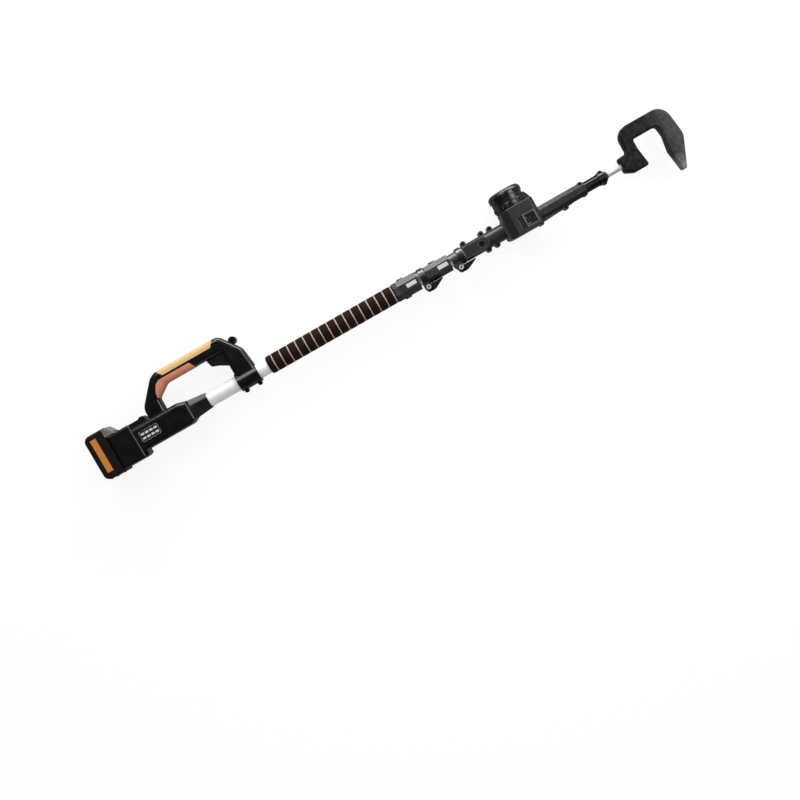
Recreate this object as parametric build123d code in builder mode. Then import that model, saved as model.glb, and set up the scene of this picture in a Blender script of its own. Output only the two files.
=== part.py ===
from build123d import *
import os
from math import acos, pi, radians, tan

# A cordless branch shaker: battery, handle with a hand loop, three-section pole, motor head and hook.
# X runs forward along the pole, Y points to the hand loop's side and Z across the tool.
# The origin is on the pole's axis, in the flat rear face of the battery. Sizes are millimetres.

os.makedirs("parts", exist_ok=True)

# Fits
SNUG = 0.05  # radial gap of a piece that is held still in its seat
RUN_FIT = 0.05  # radial gap of a shaft that turns or slides in its bush
BODY_GAP = 0.4  # gap between pieces that move past each other

# Battery pack
CELL_D = 18.3
CELL_L = 65.0
CELL_GAP = 1.2
CELL_ROWS = 5
CELL_COLUMNS = 2
CELL_END = 5.5  # from a cell's end to the outside of the case
HOLDER_PLATE = 6.0
BATTERY_WALL = 2.5
COVER_PLATE = 3.0
BATTERY_TOP = 58.3
BATTERY_CORNER = 14.0
BATTERY_EDGE = 5.0
DECK_RISE = 10.0
DECK_NECK = 48.0
DECK_WIDTH = 54.0
DECK_STEP = 4.0
DECK_LENGTH = 60.0
SHOULDER_REACH = 18.0
SHOULDER_CREST = 4.5
SHOULDER_WIDTH = 60.0
BUTTON_WIDTH = 40.0
BUTTON_HEIGHT = 12.0
BUTTON_PROUD = 1.8
BUTTON_TRAVEL = 3.5
LABEL_LENGTH = 78.0
LABEL_WIDTH = 15.0
LABEL_SETBACK = 11.8
LABEL_RISE = 8.5
LABEL_THICK = 0.4
BLADE_COUNT = 4
BLADE_PITCH = 9.0
BLADE_THICK = 1.0
BLADE_WIDTH = 5.0
BLADE_LENGTH = 15.0
CONTACT_GAP = 0.5
TERMINAL_GAP = 2.0
TERMINAL_HEIGHT = 12.0

# Handle
SHELL_WALL = 3.0
FOOT_LENGTH = 54.5
FOOT_TOP = 38.2
FOOT_DROP = 40.5
FOOT_WIDTH = 68.0
FOOT_EDGE = 5.0
TOE_REACH = 8.0
TOE_SLOPE = 8.0
TOE_BOSS = 1.0  # from the foot to the toe's screw
TOE_WIDTH = 44.0
HOUSING_LENGTH = 130.0
HOUSING_TOP = 27.5
HOUSING_DROP = 28.0
HOUSING_WIDTH = 56.0
HOUSING_EDGE = 8.0
HOUSING_TAPER = 22.0  # length of the sloped front end
HUMP_LENGTH = 36.0  # raised screw seat between the foot and the loop
HUMP_WIDTH = 32.0
HUMP_BOSS = 26.0  # from the foot to the hump's screw
HUMP_BOSS_RISE = 5.5
HUMP_BOSS_R = 8.5
TUBE_SEAT = 16.0  # how far the pole goes into the housing
NECK_LENGTH = 40.0
NECK_REAR = 43.0
NECK_FRONT = 35.0
LOOP_SETBACK = 39.6
LOOP_LENGTH = 252.4
LOOP_TOP = 108.4
LOOP_WIDTH = 36.0
LOOP_EDGE = 9.0
LOOP_WALL = 3.5
BAR_DEPTH = 33.0
REAR_LEG = 40.5
FRONT_LEG = 47.0
REAR_RAKE = 50.0
FRONT_RAKE = 39.0
REAR_KNEE = 52.0  # height of the bend in the rear leg
REAR_LEAN = 0.5
FRONT_KNEE = 61.8
FRONT_ANKLE = 20.6
FRONT_LEAN = 5.0
KNUCKLE_SETBACK = 15.0  # from the loop's front to the screw in its upper corner
KNUCKLE_DROP = 22.8
KNUCKLE_R = 8.6
KNUCKLE_WIDTH = 22.0
BEVEL_LENGTH = 30.0  # slope between the rear leg and the bar
BEVEL_DROP = 20.0
COLLAR_LENGTH = 49.5
COLLAR_WALL = 5.0
COLLAR_BOSS_R = 4.6
COLLAR_BOSS_DROP = 1.8
COLLAR_BOSS_REAR = 6.0  # from the front leg to the collar's rear screw
COLLAR_BOSS_FRONT = 8.5
COLLAR_BOSS_WIDTH = 18.0
INSERT_DEPTH = 2.0
INSERT_CORNER = 3.0
INSERT_GAP = 4.5  # black strip between the top insert and the finger insert
TOP_INSERT_REAR = 58.4  # from the loop's rear to the top insert
TOP_INSERT_FRONT = 47.5
TOP_INSERT_SLANT = 14.5
FINGER_INSERT_FRONT = 106.5  # from the loop's front to the finger insert
FINGER_INSERT_SLANT = 11.0
INSERT_PROUD = 0.5
INSERT_SPILL = 6.0  # how far its outline runs past the bar
PANEL_LENGTH = 117.0
PANEL_HEIGHT = 32.0
PANEL_SETBACK = 5.0
PANEL_RISE = 1.0
PANEL_THICK = 2.0
PANEL_PROUD = 0.4
LOUVRE_COUNT = 7
LOUVRE_PITCH = 6.5
LOUVRE_WIDTH = 2.6
BOARD_LENGTH = 80.0
BOARD_THICK = 1.6
TRIGGER_REACH = 38.0
TRIGGER_DROP = 34.5
TRIGGER_WIDTH = 15.6
TRIGGER_HIDDEN = 8.0  # how far it stands up inside the bar
TRIGGER_PIN_D = 5.0
SWITCH_LENGTH = 28.0
SWITCH_HEIGHT = 11.0
SPRING_D = 7.0
SPRING_WIRE = 1.0
SCREW_D = 3.8
SCREW_HEAD_D = 7.0
SCREW_HEAD_H = 2.5

# Pole
POLE_OD = 32.0
POLE_WALL = 1.5
SLIDE_GAP = 0.5
POLE_NEST = 26.0  # each inner tube starts this far ahead of the one round it
GUIDE_LENGTH = 12.0
GUIDE_SPIGOT = 10.0
GRIP_GAP = 25.7
GRIP_LENGTH = 311.0
GRIP_OD = 40.4
GRIP_TAPER = 9.0
RING_COUNT = 16
RING_FIRST = 15.0
RING_LAST = 3.5  # from the last ring to the grip's front end
RING_WIDTH = 2.4
RING_DEPTH = 1.2
SLEEVE_LENGTH = 58.0
SLEEVE_WALL = 4.5
SLEEVE_STOP = 4.0
SLIT_WIDTH = 5.0
LOWER_COLLAR = 14.0
UPPER_COLLAR = 29.0
LOWER_PIVOT = 7.5  # from the slit to the lever's pin
UPPER_PIVOT = 11.5
LOWER_NECK = 5.0  # wall between the slit and the band
UPPER_NECK = 2.6
BAND_THICK = 1.5
BAND_PROUD = 1.0
BAND_WIDTH = 11.0
BUMP_D = 16.0
BUMP_RISE = 3.0
BUMP_SETBACK = 23.5
BADGE_LENGTH = 23.6
BADGE_HEIGHT = 8.6
BADGE_SETBACK = 29.0
BADGE_THICK = 0.5
CAM_RADIUS = 8.0
CAM_LIFT = 1.0
CAM_WIDTH = 14.0
LUG_THICK = 5.0
LUG_RADIUS = 6.2
PIN_D = 6.0
PIN_HEAD_D = 10.0
PIN_HEAD_H = 2.5
LEVER_LENGTH = 36.0
LEVER_WIDTH = 28.0
LEVER_TIP = 2.5
LEVER_GAP = 1.0  # between the closed lever and what it lies along
LEVER_BELLY = 11.0

# Head
HEAD_GAP = 2.0
HEAD_WALL = 4.0
SOCKET_LENGTH = 58.5
SOCKET_D = 35.0
SOCKET_REACH = 60.0
SOCKET_BOSS_FIRST = 8.0  # from the socket's rear end to its screws
SOCKET_BOSS_REAR = 52.0
SOCKET_BOSS_FRONT = 73.0
SOCKET_BOSS_R = 6.2
SOCKET_BOSS_RISE = 19.8
SOCKET_BOSS_DROP = 18.0
SOCKET_BOSS_WIDTH = 16.0
PAD_HEIGHT = 24.5
PAD_WIDTH = 36.6
RECESS_D = 15.0
RECESS_DEPTH = 2.0
RECESS_SETBACK = 42.0
BOLT_D = 5.0
BLOCK_SETBACK = 105.5
BLOCK_LENGTH = 75.5
BLOCK_TOP = 36.0
BLOCK_DROP = 26.5
BLOCK_REAR_CHAMFER = 13.5
BLOCK_FRONT_CHAMFER = 8.0
BLOCK_EDGE = 2.5
BLOCK_BOSS = 4.0  # from the block's front to the screw under it
BLOCK_BOSS_WIDTH = 32.0
FLARE_REACH = 6.5  # the block's rear runs out over the socket
FLARE_RISE = 14.0
FLARE_CREST = 29.0
WINDOW_SIZE = 24.0
WINDOW_RISE = -4.7
WINDOW_SETBACK = 24.0  # from the block's front to the window's middle
BEZEL_WIDTH = 31.0
BEZEL_HEIGHT = 28.6
GROOVE = 1.2
NOTCH_WIDTH = 11.5
NOTCH_HEIGHT = 30.4
NOTCH_DEPTH = 2.0
GRILLE_THICK = 2.0
GRILLE_HOLES = 6
GRILLE_BAR = 1.4
ROD_DROP = 5.0
ROD_D = 12.0
NOSE_LENGTH = 114.0
NOSE_SIZE = 30.0
NOSE_BOSS = 59.0  # from the block to the screw under the nose
NOSE_BOSS_R = 6.0
NOSE_BOSS_WIDTH = 16.0
KEEL_LENGTH = 78.0
KEEL_WIDTH = 18.0
MUZZLE_LENGTH = 35.0
MUZZLE_D = 22.6
MUZZLE_RIBS = 12
MUZZLE_RIB = 1.2
MUZZLE_BOSS = 6.0  # from the muzzle back to the nose's end screws
MUZZLE_BOSS_WIDTH = 18.0
FLANGE_LENGTH = 14.0
FLANGE_D = 28.0
FLANGE_BOSS = 5.0  # from the seal back to the flange's screws
FLANGE_BOSS_WIDTH = 14.0
BUSH_D = 18.0
BUSH_LENGTH = 26.0
SEAL_LENGTH = 8.0
SEAL_ROOT = 7.0
SEAL_LIP = 1.2
MOTOR_SETBACK = 32.5
MOTOR_CAP_D = 75.2
MOTOR_WAIST_D = 71.0
MOTOR_BASE_H = 14.0
MOTOR_WAIST_H = 10.5
MOTOR_CAP_H = 17.2
MOTOR_CAP_CORNER = 10.0
MOTOR_WALL = 3.4
MOTOR_FLOOR = 4.0
GUSSET_WIDTH = 40.0  # web from the motor down to the block's front
GUSSET_RISE = 17.0
GUSSET_TOE = 4.0
MOTOR_RIBS = 20
MOTOR_RIB_D = 3.0
MOTOR_VENTS = 16
MOTOR_VENT_WIDTH = 5.0
MOTOR_GAP = 1.0  # air gap between rotor and stator
STATOR_WALL = 8.5
STATOR_HEIGHT = 14.0
SHAFT_D = 5.0
FAN_D = 54.0
FAN_BLADES = 9
FAN_HEIGHT = 6.0
BEARING_D = 13.0
GEAR_MODULE = 0.8
GEAR_TEETH = 36
PINION_TEETH = 10
GEAR_FACE = 8.0
GEAR_RISE = 4.0  # underside of the gear above the pole's axis
AXLE_D = 8.0
GEAR_BEARING_D = 18.0
PLATE_RISE = 16.0
PLATE_THICK = 10.0
CRANK_RADIUS = 9.0
CRANK_PIN_D = 5.0
SLEEVE_D = 9.0
YOKE_HEIGHT = 12.0
YOKE_WALL = 4.0
STUB_D = 8.0

# Hook
ROD_SHOWN = 34.3  # bright rod between the nose and the hook at mid stroke
HOOK_THICK = 26.0
HOOK_EDGE = 4.0
HOOK_SOCKET = 23.6  # length of the socket behind the arm
HOOK_BORE = 34.0
HOOK_ARM = 24.5
HOOK_MOUTH = 53.8
HOOK_REACH = 148.0
HOOK_TOP = 67.7
HOOK_CROWN = 33.3
HOOK_TIP_DROP = 76.3
HOOK_PIN_D = 6.0


def bore_half(diameter):
    return diameter / 2 + SNUG


def up_plane(height):
    """A plane square to Y, for what is drawn from above the hand loop."""
    return Plane(origin=(0, height, 0), x_dir=(1, 0, 0), z_dir=(0, 1, 0))


# Stations along the pole
cell_pitch = CELL_D + CELL_GAP
battery_width = CELL_L + 2 * CELL_END
battery_depth = BATTERY_WALL + CELL_COLUMNS * cell_pitch + COVER_PLATE
battery_height = 2 * BATTERY_WALL + CELL_ROWS * cell_pitch
battery_bottom = BATTERY_TOP - battery_height
foot_x = battery_depth + BODY_GAP
housing_x = foot_x + FOOT_LENGTH
neck_x = housing_x + HOUSING_LENGTH
tube_x = neck_x - TUBE_SEAT
loop_x = housing_x + LOOP_SETBACK
loop_end = loop_x + LOOP_LENGTH
grip_x = loop_end + GRIP_GAP
lower_x = grip_x + GRIP_LENGTH
clamp_length = SLEEVE_LENGTH + SLIT_WIDTH
upper_x = lower_x + clamp_length + LOWER_COLLAR + BODY_GAP
head_x = upper_x + clamp_length + UPPER_COLLAR + HEAD_GAP
block_x = head_x + BLOCK_SETBACK
nose_x = block_x + BLOCK_LENGTH
muzzle_x = nose_x + NOSE_LENGTH
flange_x = muzzle_x + MUZZLE_LENGTH
seal_x = flange_x + FLANGE_LENGTH
hook_x = seal_x + SEAL_LENGTH + ROD_SHOWN
motor_x = block_x + MOTOR_SETBACK

# Tubes inside each other
middle_od = POLE_OD - 2 * (POLE_WALL + SLIDE_GAP)
inner_od = middle_od - 2 * (POLE_WALL + SLIDE_GAP)

# Battery pack: a case with ten cells, closed by a cover that carries the rails
case_depth = battery_depth - COVER_PLATE
battery_middle = BATTERY_TOP - battery_height / 2
cavity_half = battery_width / 2 - BATTERY_WALL - BATTERY_EDGE / 4
cavity_corner = cell_pitch / 2  # the hollow's corners follow the corner cells
shoulder_low = FOOT_TOP + BODY_GAP
deck_low = FOOT_TOP - DECK_LENGTH


def battery_outline(depth):
    """Side outline of the pack: round corners at the rear, square ones at the cover."""
    return FilletPolyline(
        (depth, BATTERY_TOP),
        (0, BATTERY_TOP),
        (0, battery_bottom),
        (depth, battery_bottom),
        radius=[BATTERY_CORNER, BATTERY_CORNER],
    )


with BuildPart() as battery_case:
    with BuildSketch():
        with BuildLine():
            battery_outline(case_depth)
            Line((case_depth, battery_bottom), (case_depth, BATTERY_TOP))
        make_face()
    extrude(amount=battery_width / 2, both=True)
    side_edges = battery_case.faces().filter_by(Axis.Z).edges()
    fillet(side_edges.sort_by(Axis.X)[:-2], radius=BATTERY_EDGE)
    with BuildSketch():
        with Locations(((BATTERY_WALL + case_depth) / 2, battery_middle)):
            RectangleRounded(case_depth - BATTERY_WALL, battery_height - 2 * BATTERY_WALL, cavity_corner)
        with Locations((case_depth - cavity_corner / 2, battery_middle)):
            Rectangle(cavity_corner, battery_height - 2 * BATTERY_WALL)
    extrude(amount=cavity_half, both=True, mode=Mode.SUBTRACT)
battery_case.part.label = "battery_case"
export_step(battery_case.part, "parts/battery_case.step")

cell_spots = [
    (BATTERY_WALL + (column + 0.5) * cell_pitch, battery_bottom + BATTERY_WALL + (row + 0.5) * cell_pitch)
    for column in range(CELL_COLUMNS)
    for row in range(CELL_ROWS)
]
cells_middle = BATTERY_WALL + CELL_COLUMNS * cell_pitch / 2
with BuildPart() as battery_cells:
    with BuildSketch():
        with Locations(cell_spots):
            Circle(CELL_D / 2)
    extrude(amount=CELL_L / 2, both=True)
battery_cells.part.label = "battery_cells"
export_step(battery_cells.part, "parts/battery_cells.step")

holder_depth = CELL_COLUMNS * cell_pitch - 2 * SNUG
holder_height = CELL_ROWS * cell_pitch - 2 * SNUG
with BuildPart() as cell_holder:
    with BuildSketch():
        with Locations((cells_middle, battery_middle)):
            RectangleRounded(holder_depth, holder_height, cavity_corner - SNUG)
        with Locations(cell_spots):
            Circle(bore_half(CELL_D), mode=Mode.SUBTRACT)
    extrude(amount=HOLDER_PLATE / 2, both=True)
cell_holder.part.label = "cell_holder"
export_step(cell_holder.part, "parts/cell_holder.step")

blade_spots = [((i - (BLADE_COUNT - 1) / 2) * BLADE_PITCH) for i in range(BLADE_COUNT)]
blade_x = battery_depth + DECK_RISE - BLADE_WIDTH / 2 - CONTACT_GAP
button_middle = (shoulder_low + BATTERY_TOP) / 2
pocket_x = battery_depth + 1.0
button_back = pocket_x + BUTTON_TRAVEL + 2.0
slope_run = (SHOULDER_REACH - SHOULDER_CREST) / (BATTERY_TOP - shoulder_low)


def shoulder_face(height):
    """X of the shoulder's sloped front at a height."""
    return battery_depth + SHOULDER_CREST + slope_run * (BATTERY_TOP - height)


with BuildPart() as battery_cover:
    with BuildSketch():
        with Locations((case_depth + COVER_PLATE / 2, battery_middle)):
            Rectangle(COVER_PLATE, battery_height)
    extrude(amount=battery_width / 2, both=True)
    cover_corners = battery_cover.edges().filter_by(Axis.X)
    fillet(cover_corners, radius=BATTERY_EDGE)
    with BuildSketch():
        with BuildLine():
            Polyline(
                (battery_depth, shoulder_low),
                (battery_depth + SHOULDER_REACH, shoulder_low),
                (battery_depth + SHOULDER_CREST, BATTERY_TOP),
                (battery_depth, BATTERY_TOP),
                close=True,
            )
        make_face()
    extrude(amount=SHOULDER_WIDTH / 2, both=True)
    with BuildSketch(up_plane(deck_low)):
        with Locations((battery_depth + DECK_STEP / 2, 0)):
            Rectangle(DECK_STEP, DECK_NECK)
        with Locations((battery_depth + (DECK_STEP + DECK_RISE) / 2, 0)):
            Rectangle(DECK_RISE - DECK_STEP, DECK_WIDTH)
    extrude(amount=shoulder_low - deck_low)
    with BuildSketch(up_plane(deck_low)):
        with Locations([(blade_x, z) for z in blade_spots]):
            Rectangle(BLADE_WIDTH + 2 * CONTACT_GAP, BLADE_THICK + 2 * CONTACT_GAP)
    extrude(amount=BLADE_LENGTH + CONTACT_GAP, mode=Mode.SUBTRACT)
    with BuildSketch():
        with Locations((pocket_x, button_middle)):
            Rectangle(
                2 * SHOULDER_REACH,
                BUTTON_HEIGHT + 2 * BODY_GAP,
                align=(Align.MIN, Align.CENTER),
            )
    extrude(amount=BUTTON_WIDTH / 2 + BODY_GAP, both=True, mode=Mode.SUBTRACT)
battery_cover.part.label = "battery_cover"
export_step(battery_cover.part, "parts/battery_cover.step")

button_low = button_middle - BUTTON_HEIGHT / 2
button_high = button_middle + BUTTON_HEIGHT / 2
with BuildPart() as battery_button:
    with BuildSketch():
        with BuildLine():
            Polyline(
                (button_back, button_low),
                (shoulder_face(button_low) + BUTTON_PROUD, button_low),
                (shoulder_face(button_high) + BUTTON_PROUD, button_high),
                (button_back, button_high),
                close=True,
            )
        make_face()
    extrude(amount=BUTTON_WIDTH / 2, both=True)
    fillet(battery_button.faces().sort_by(Axis.X)[-1].edges(), radius=BUTTON_PROUD / 2)
battery_button.part.label = "battery_button"
export_step(battery_button.part, "parts/battery_button.step")

with BuildPart() as battery_button_spring:
    with BuildSketch(Plane.YZ.offset(pocket_x)):
        with Locations((button_middle, 0)):
            Circle(SPRING_D / 2)
            Circle(SPRING_D / 2 - SPRING_WIRE, mode=Mode.SUBTRACT)
    extrude(amount=button_back - pocket_x)
battery_button_spring.part.label = "battery_button_spring"
export_step(battery_button_spring.part, "parts/battery_button_spring.step")

with BuildPart() as battery_label:
    with BuildSketch(Plane.XY.offset(battery_width / 2)):
        with Locations((LABEL_SETBACK + LABEL_WIDTH / 2, LABEL_RISE)):
            RectangleRounded(LABEL_WIDTH, LABEL_LENGTH, LABEL_WIDTH / 6)
    extrude(amount=LABEL_THICK)
battery_label.part.label = "battery_label"
export_step(battery_label.part, "parts/battery_label.step")

# Spring clips that line the cover's slots and grip the blades
contact_low = deck_low + 2 * CONTACT_GAP
with BuildPart() as battery_contacts:
    with BuildSketch(up_plane(contact_low)):
        with Locations([(blade_x, z) for z in blade_spots]):
            Rectangle(BLADE_WIDTH + 2 * CONTACT_GAP, BLADE_THICK + 2 * CONTACT_GAP)
            Rectangle(BLADE_WIDTH + CONTACT_GAP, BLADE_THICK + CONTACT_GAP, mode=Mode.SUBTRACT)
    extrude(amount=BLADE_LENGTH - CONTACT_GAP)
battery_contacts.part.label = "battery_contacts"
export_step(battery_contacts.part, "parts/battery_contacts.step")

# Handle: one form, hollowed and parted along the middle into two moulded halves
slot_end = foot_x + DECK_RISE + BODY_GAP
partition_x = slot_end + SHELL_WALL
housing_middle = (HOUSING_TOP - HOUSING_DROP) / 2
cavity_front = neck_x - TUBE_SEAT
housing_cavity_top = HOUSING_TOP - SHELL_WALL
housing_cavity_low = SHELL_WALL - HOUSING_DROP
bar_low = LOOP_TOP - BAR_DEPTH
leg_x = loop_end - FRONT_LEG
collar_r = POLE_OD / 2 + COLLAR_WALL
loop_outline = [
    (loop_x, 0),
    (loop_x + REAR_LEAN, REAR_KNEE),
    (loop_x + REAR_RAKE, LOOP_TOP),
    (loop_end - FRONT_RAKE, LOOP_TOP),
    (loop_end - FRONT_LEAN, FRONT_KNEE),
    (loop_end, FRONT_ANKLE),
    (loop_end, 0),
    (leg_x, 0),
    (leg_x, bar_low),
    (loop_x + REAR_LEG + BEVEL_LENGTH, bar_low),
    (loop_x + REAR_LEG + 1, bar_low - BEVEL_DROP),
    (loop_x + REAR_LEG, 0),
]
loop_radii = [0, 30, 36, 18, 30, 30, 0, 0, 6, 16, 10, 0]


def loop_form(grow):
    """The hand loop, grown or shrunk all round by one distance."""
    with BuildPart() as form:
        with BuildSketch():
            with BuildLine():
                FilletPolyline(*loop_outline, radius=loop_radii, close=True)
            make_face()
            offset(amount=grow, kind=Kind.INTERSECTION)
        extrude(amount=LOOP_WIDTH / 2 + grow, both=True)
        rims = form.faces().filter_by(Axis.Z).edges()
        fillet(rims.filter_by(lambda e: e.center().Y > LOOP_EDGE), radius=LOOP_EDGE + grow)
    return form.part


loop_outer = loop_form(0)
loop_core = loop_form(-INSERT_DEPTH)
loop_proud = loop_form(INSERT_PROUD)

bar_split = bar_low + BAR_DEPTH / 2
leg_front = loop_x + REAR_LEG
top_insert_outline = [
    (loop_x + TOP_INSERT_REAR, LOOP_TOP + INSERT_SPILL),
    (loop_x + TOP_INSERT_REAR + TOP_INSERT_SLANT, bar_split + INSERT_GAP / 2),
    (loop_end - TOP_INSERT_FRONT - TOP_INSERT_SLANT, bar_split + INSERT_GAP / 2),
    (loop_end - TOP_INSERT_FRONT, LOOP_TOP + INSERT_SPILL),
]
finger_insert_outline = [
    (leg_front - 1, bar_low - BEVEL_DROP + 2),
    (leg_front + 2, bar_low - BEVEL_DROP / 4),
    (leg_front + BEVEL_LENGTH / 3, bar_low + BAR_DEPTH / 4),
    (leg_front + 2 * BEVEL_LENGTH / 3, bar_split - INSERT_GAP / 2),
    (loop_end - FINGER_INSERT_FRONT - FINGER_INSERT_SLANT, bar_split - INSERT_GAP / 2),
    (loop_end - FINGER_INSERT_FRONT, bar_low - INSERT_SPILL),
    (leg_front + BEVEL_LENGTH, bar_low - INSERT_SPILL),
    (leg_front + BEVEL_LENGTH / 4, bar_low - BEVEL_DROP - 3),
]
insert_outlines = {"top_insert": top_insert_outline, "finger_insert": finger_insert_outline}


def insert_prism(name, gap):
    """The outline of a soft insert carried right through the bar."""
    with BuildPart() as prism:
        with BuildSketch():
            with BuildLine():
                FilletPolyline(*insert_outlines[name], radius=INSERT_CORNER, close=True)
            make_face()
            offset(amount=-gap)
        extrude(amount=LOOP_WIDTH, both=True)
    return prism.part


collar_boss_y = -collar_r - COLLAR_BOSS_DROP
toe_boss_r = SCREW_HEAD_D / 2 + 1.5
handle_bosses = [
    (housing_x + HUMP_BOSS, HOUSING_TOP + HUMP_BOSS_RISE, HUMP_BOSS_R, HUMP_WIDTH / 2),
    (loop_end - KNUCKLE_SETBACK, LOOP_TOP - KNUCKLE_DROP, KNUCKLE_R, KNUCKLE_WIDTH / 2),
    (leg_x + COLLAR_BOSS_REAR, collar_boss_y, COLLAR_BOSS_R, COLLAR_BOSS_WIDTH / 2),
    (loop_end - COLLAR_BOSS_FRONT, collar_boss_y, COLLAR_BOSS_R, COLLAR_BOSS_WIDTH / 2),
    (housing_x + TOE_BOSS, toe_boss_r + 1.5 - FOOT_DROP, toe_boss_r, TOE_WIDTH / 2),
]
pivot_x = leg_x + 8
pivot_y = bar_low - 0.6 * TRIGGER_DROP
pin_half = LOOP_WIDTH / 2 - 4.0
slot_half = TRIGGER_WIDTH / 2 + BODY_GAP
switch_low = LOOP_TOP - LOOP_WALL - SWITCH_HEIGHT
panel_x = housing_x + PANEL_SETBACK
panel_floor = HOUSING_WIDTH / 2 - PANEL_THICK


def slab(outline, radii, half_width, edge):
    """A plate with the given side outline, as thick on both sides, with round rims."""
    with BuildPart() as plate:
        with BuildSketch():
            with BuildLine():
                FilletPolyline(*outline, radius=radii, close=True)
            make_face()
        extrude(amount=half_width, both=True)
        if edge > 0:
            fillet(plate.faces().filter_by(Axis.Z).edges(), radius=edge)
    return plate.part


foot_outline = [
    (foot_x, -FOOT_DROP),
    (foot_x, FOOT_TOP),
    (housing_x, FOOT_TOP),
    (housing_x, -FOOT_DROP),
]
housing_rear = housing_x - 2 * FOOT_EDGE
housing_outline = [
    (housing_rear, -HOUSING_DROP),
    (housing_rear, HOUSING_TOP),
    (neck_x - HOUSING_TAPER, HOUSING_TOP),
    (neck_x, NECK_REAR / 2),
    (neck_x, -NECK_REAR / 2),
    (neck_x - 0.6 * HOUSING_TAPER, -HOUSING_DROP),
]
toe_outline = [
    (housing_rear, -FOOT_DROP),
    (housing_x + TOE_REACH - TOE_SLOPE, -FOOT_DROP),
    (housing_x + TOE_REACH, SHELL_WALL - HOUSING_DROP),
    (housing_rear, SHELL_WALL - HOUSING_DROP),
]
hump_outline = [
    (housing_rear, HOUSING_TOP - SHELL_WALL),
    (housing_rear, FOOT_TOP),
    (housing_x + HUMP_BOSS + HUMP_BOSS_R / 2, FOOT_TOP),
    (housing_x + HUMP_LENGTH, HOUSING_TOP - SHELL_WALL),
]
foot_slab = slab(foot_outline, [0, 0, FOOT_EDGE, FOOT_EDGE], FOOT_WIDTH / 2, FOOT_EDGE)
housing_slab = slab(housing_outline, [0, 0, 12, 0, 0, 12], HOUSING_WIDTH / 2, HOUSING_EDGE)
toe_slab = slab(toe_outline, 0, TOE_WIDTH / 2, 0)
hump_slab = slab(hump_outline, [0, 0, HUMP_BOSS_R, 0], HUMP_WIDTH / 2, 0)

with BuildPart() as handle_form:
    add(foot_slab)
    add(housing_slab)
    add(toe_slab)
    add(hump_slab)
    add(loop_outer)
    with BuildSketch(Plane.YZ.offset(loop_end - COLLAR_LENGTH)):
        Circle(collar_r)
    extrude(amount=COLLAR_LENGTH)
    for x, y, radius, half in handle_bosses:
        with BuildSketch():
            with Locations((x, y)):
                Circle(radius)
        extrude(amount=half, both=True)

# Rail slot at the rear of the foot, open at the top, with the terminal block at its lower end
lip = DECK_STEP - 2 * BODY_GAP
terminal_top = deck_low - TERMINAL_GAP
slot_floor = terminal_top - TERMINAL_HEIGHT
foot_cavity_half = FOOT_WIDTH / 2 - SHELL_WALL - FOOT_EDGE / 4
housing_cavity_half = HOUSING_WIDTH / 2 - SHELL_WALL - HOUSING_EDGE / 4
loop_cavity_half = LOOP_WIDTH / 2 - LOOP_WALL - LOOP_EDGE / 4
collar_roof = collar_r + LOOP_WALL

with BuildPart() as handle_hollow:
    with BuildSketch(up_plane(slot_floor)):
        with Locations((foot_x, 0)):
            Rectangle(DECK_STEP, DECK_NECK + 2 * BODY_GAP, align=(Align.MIN, Align.CENTER))
        with Locations((foot_x + lip, 0)):
            Rectangle(slot_end - foot_x - lip, DECK_WIDTH + 2 * BODY_GAP, align=(Align.MIN, Align.CENTER))
    extrude(amount=FOOT_TOP - slot_floor + FOOT_EDGE)
    with BuildSketch():
        with Locations((partition_x, SHELL_WALL - FOOT_DROP)):
            Rectangle(
                housing_x - SHELL_WALL - partition_x,
                FOOT_TOP + FOOT_DROP - 2 * SHELL_WALL,
                align=(Align.MIN, Align.MIN),
            )
    extrude(amount=foot_cavity_half, both=True)
    with BuildSketch():
        with Locations((housing_rear, housing_cavity_low)):
            Rectangle(
                cavity_front - housing_rear,
                housing_cavity_top - housing_cavity_low,
                align=(Align.MIN, Align.MIN),
            )
    extrude(amount=housing_cavity_half, both=True)
    with BuildSketch():
        with BuildLine():
            FilletPolyline(*loop_outline, radius=loop_radii, close=True)
        make_face()
        offset(amount=-LOOP_WALL, kind=Kind.INTERSECTION)
        with Locations((leg_x - FRONT_LEG, -LOOP_TOP)):
            Rectangle(
                3 * FRONT_LEG,
                LOOP_TOP + collar_roof,
                align=(Align.MIN, Align.MIN),
                mode=Mode.SUBTRACT,
            )
    extrude(amount=loop_cavity_half, both=True)
    with BuildSketch(Plane.YZ.offset(tube_x)):
        Circle(bore_half(POLE_OD))
    extrude(amount=loop_end - tube_x + 1)
    with BuildSketch():
        with Locations((leg_x + LOOP_WALL + 1, bar_low - TRIGGER_DROP - 2)):
            Rectangle(
                TRIGGER_REACH + LOOP_WALL + 2.5,
                TRIGGER_DROP + LOOP_WALL + 3,
                align=(Align.MAX, Align.MIN),
            )
    extrude(amount=slot_half, both=True)
    with BuildSketch():
        with Locations((pivot_x, pivot_y)):
            Circle(bore_half(TRIGGER_PIN_D))
    extrude(amount=pin_half, both=True)


def panel_face(gap):
    """Side panel outline: square rear end, round front end."""
    height = PANEL_HEIGHT - 2 * gap
    with BuildSketch() as face:
        with Locations((panel_x + gap, PANEL_RISE)):
            Rectangle(PANEL_LENGTH - PANEL_HEIGHT / 2 - gap, height, align=(Align.MIN, Align.CENTER))
        with Locations((panel_x + PANEL_LENGTH - PANEL_HEIGHT / 2, PANEL_RISE)):
            Circle(height / 2)
    return face.sketch


def screw_holes(bosses):
    """Shank holes and head recesses of a set of shell screws."""
    with BuildPart() as holes:
        for x, y, radius, half in bosses:
            with BuildSketch(Plane.XY.offset(1 - half)):
                with Locations((x, y)):
                    Circle(bore_half(SCREW_D))
            extrude(amount=2 * half - 1)
            with BuildSketch(Plane.XY.offset(half - SCREW_HEAD_H)):
                with Locations((x, y)):
                    Circle(bore_half(SCREW_HEAD_D))
            extrude(amount=2 * SCREW_HEAD_H)
    return holes.part


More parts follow.
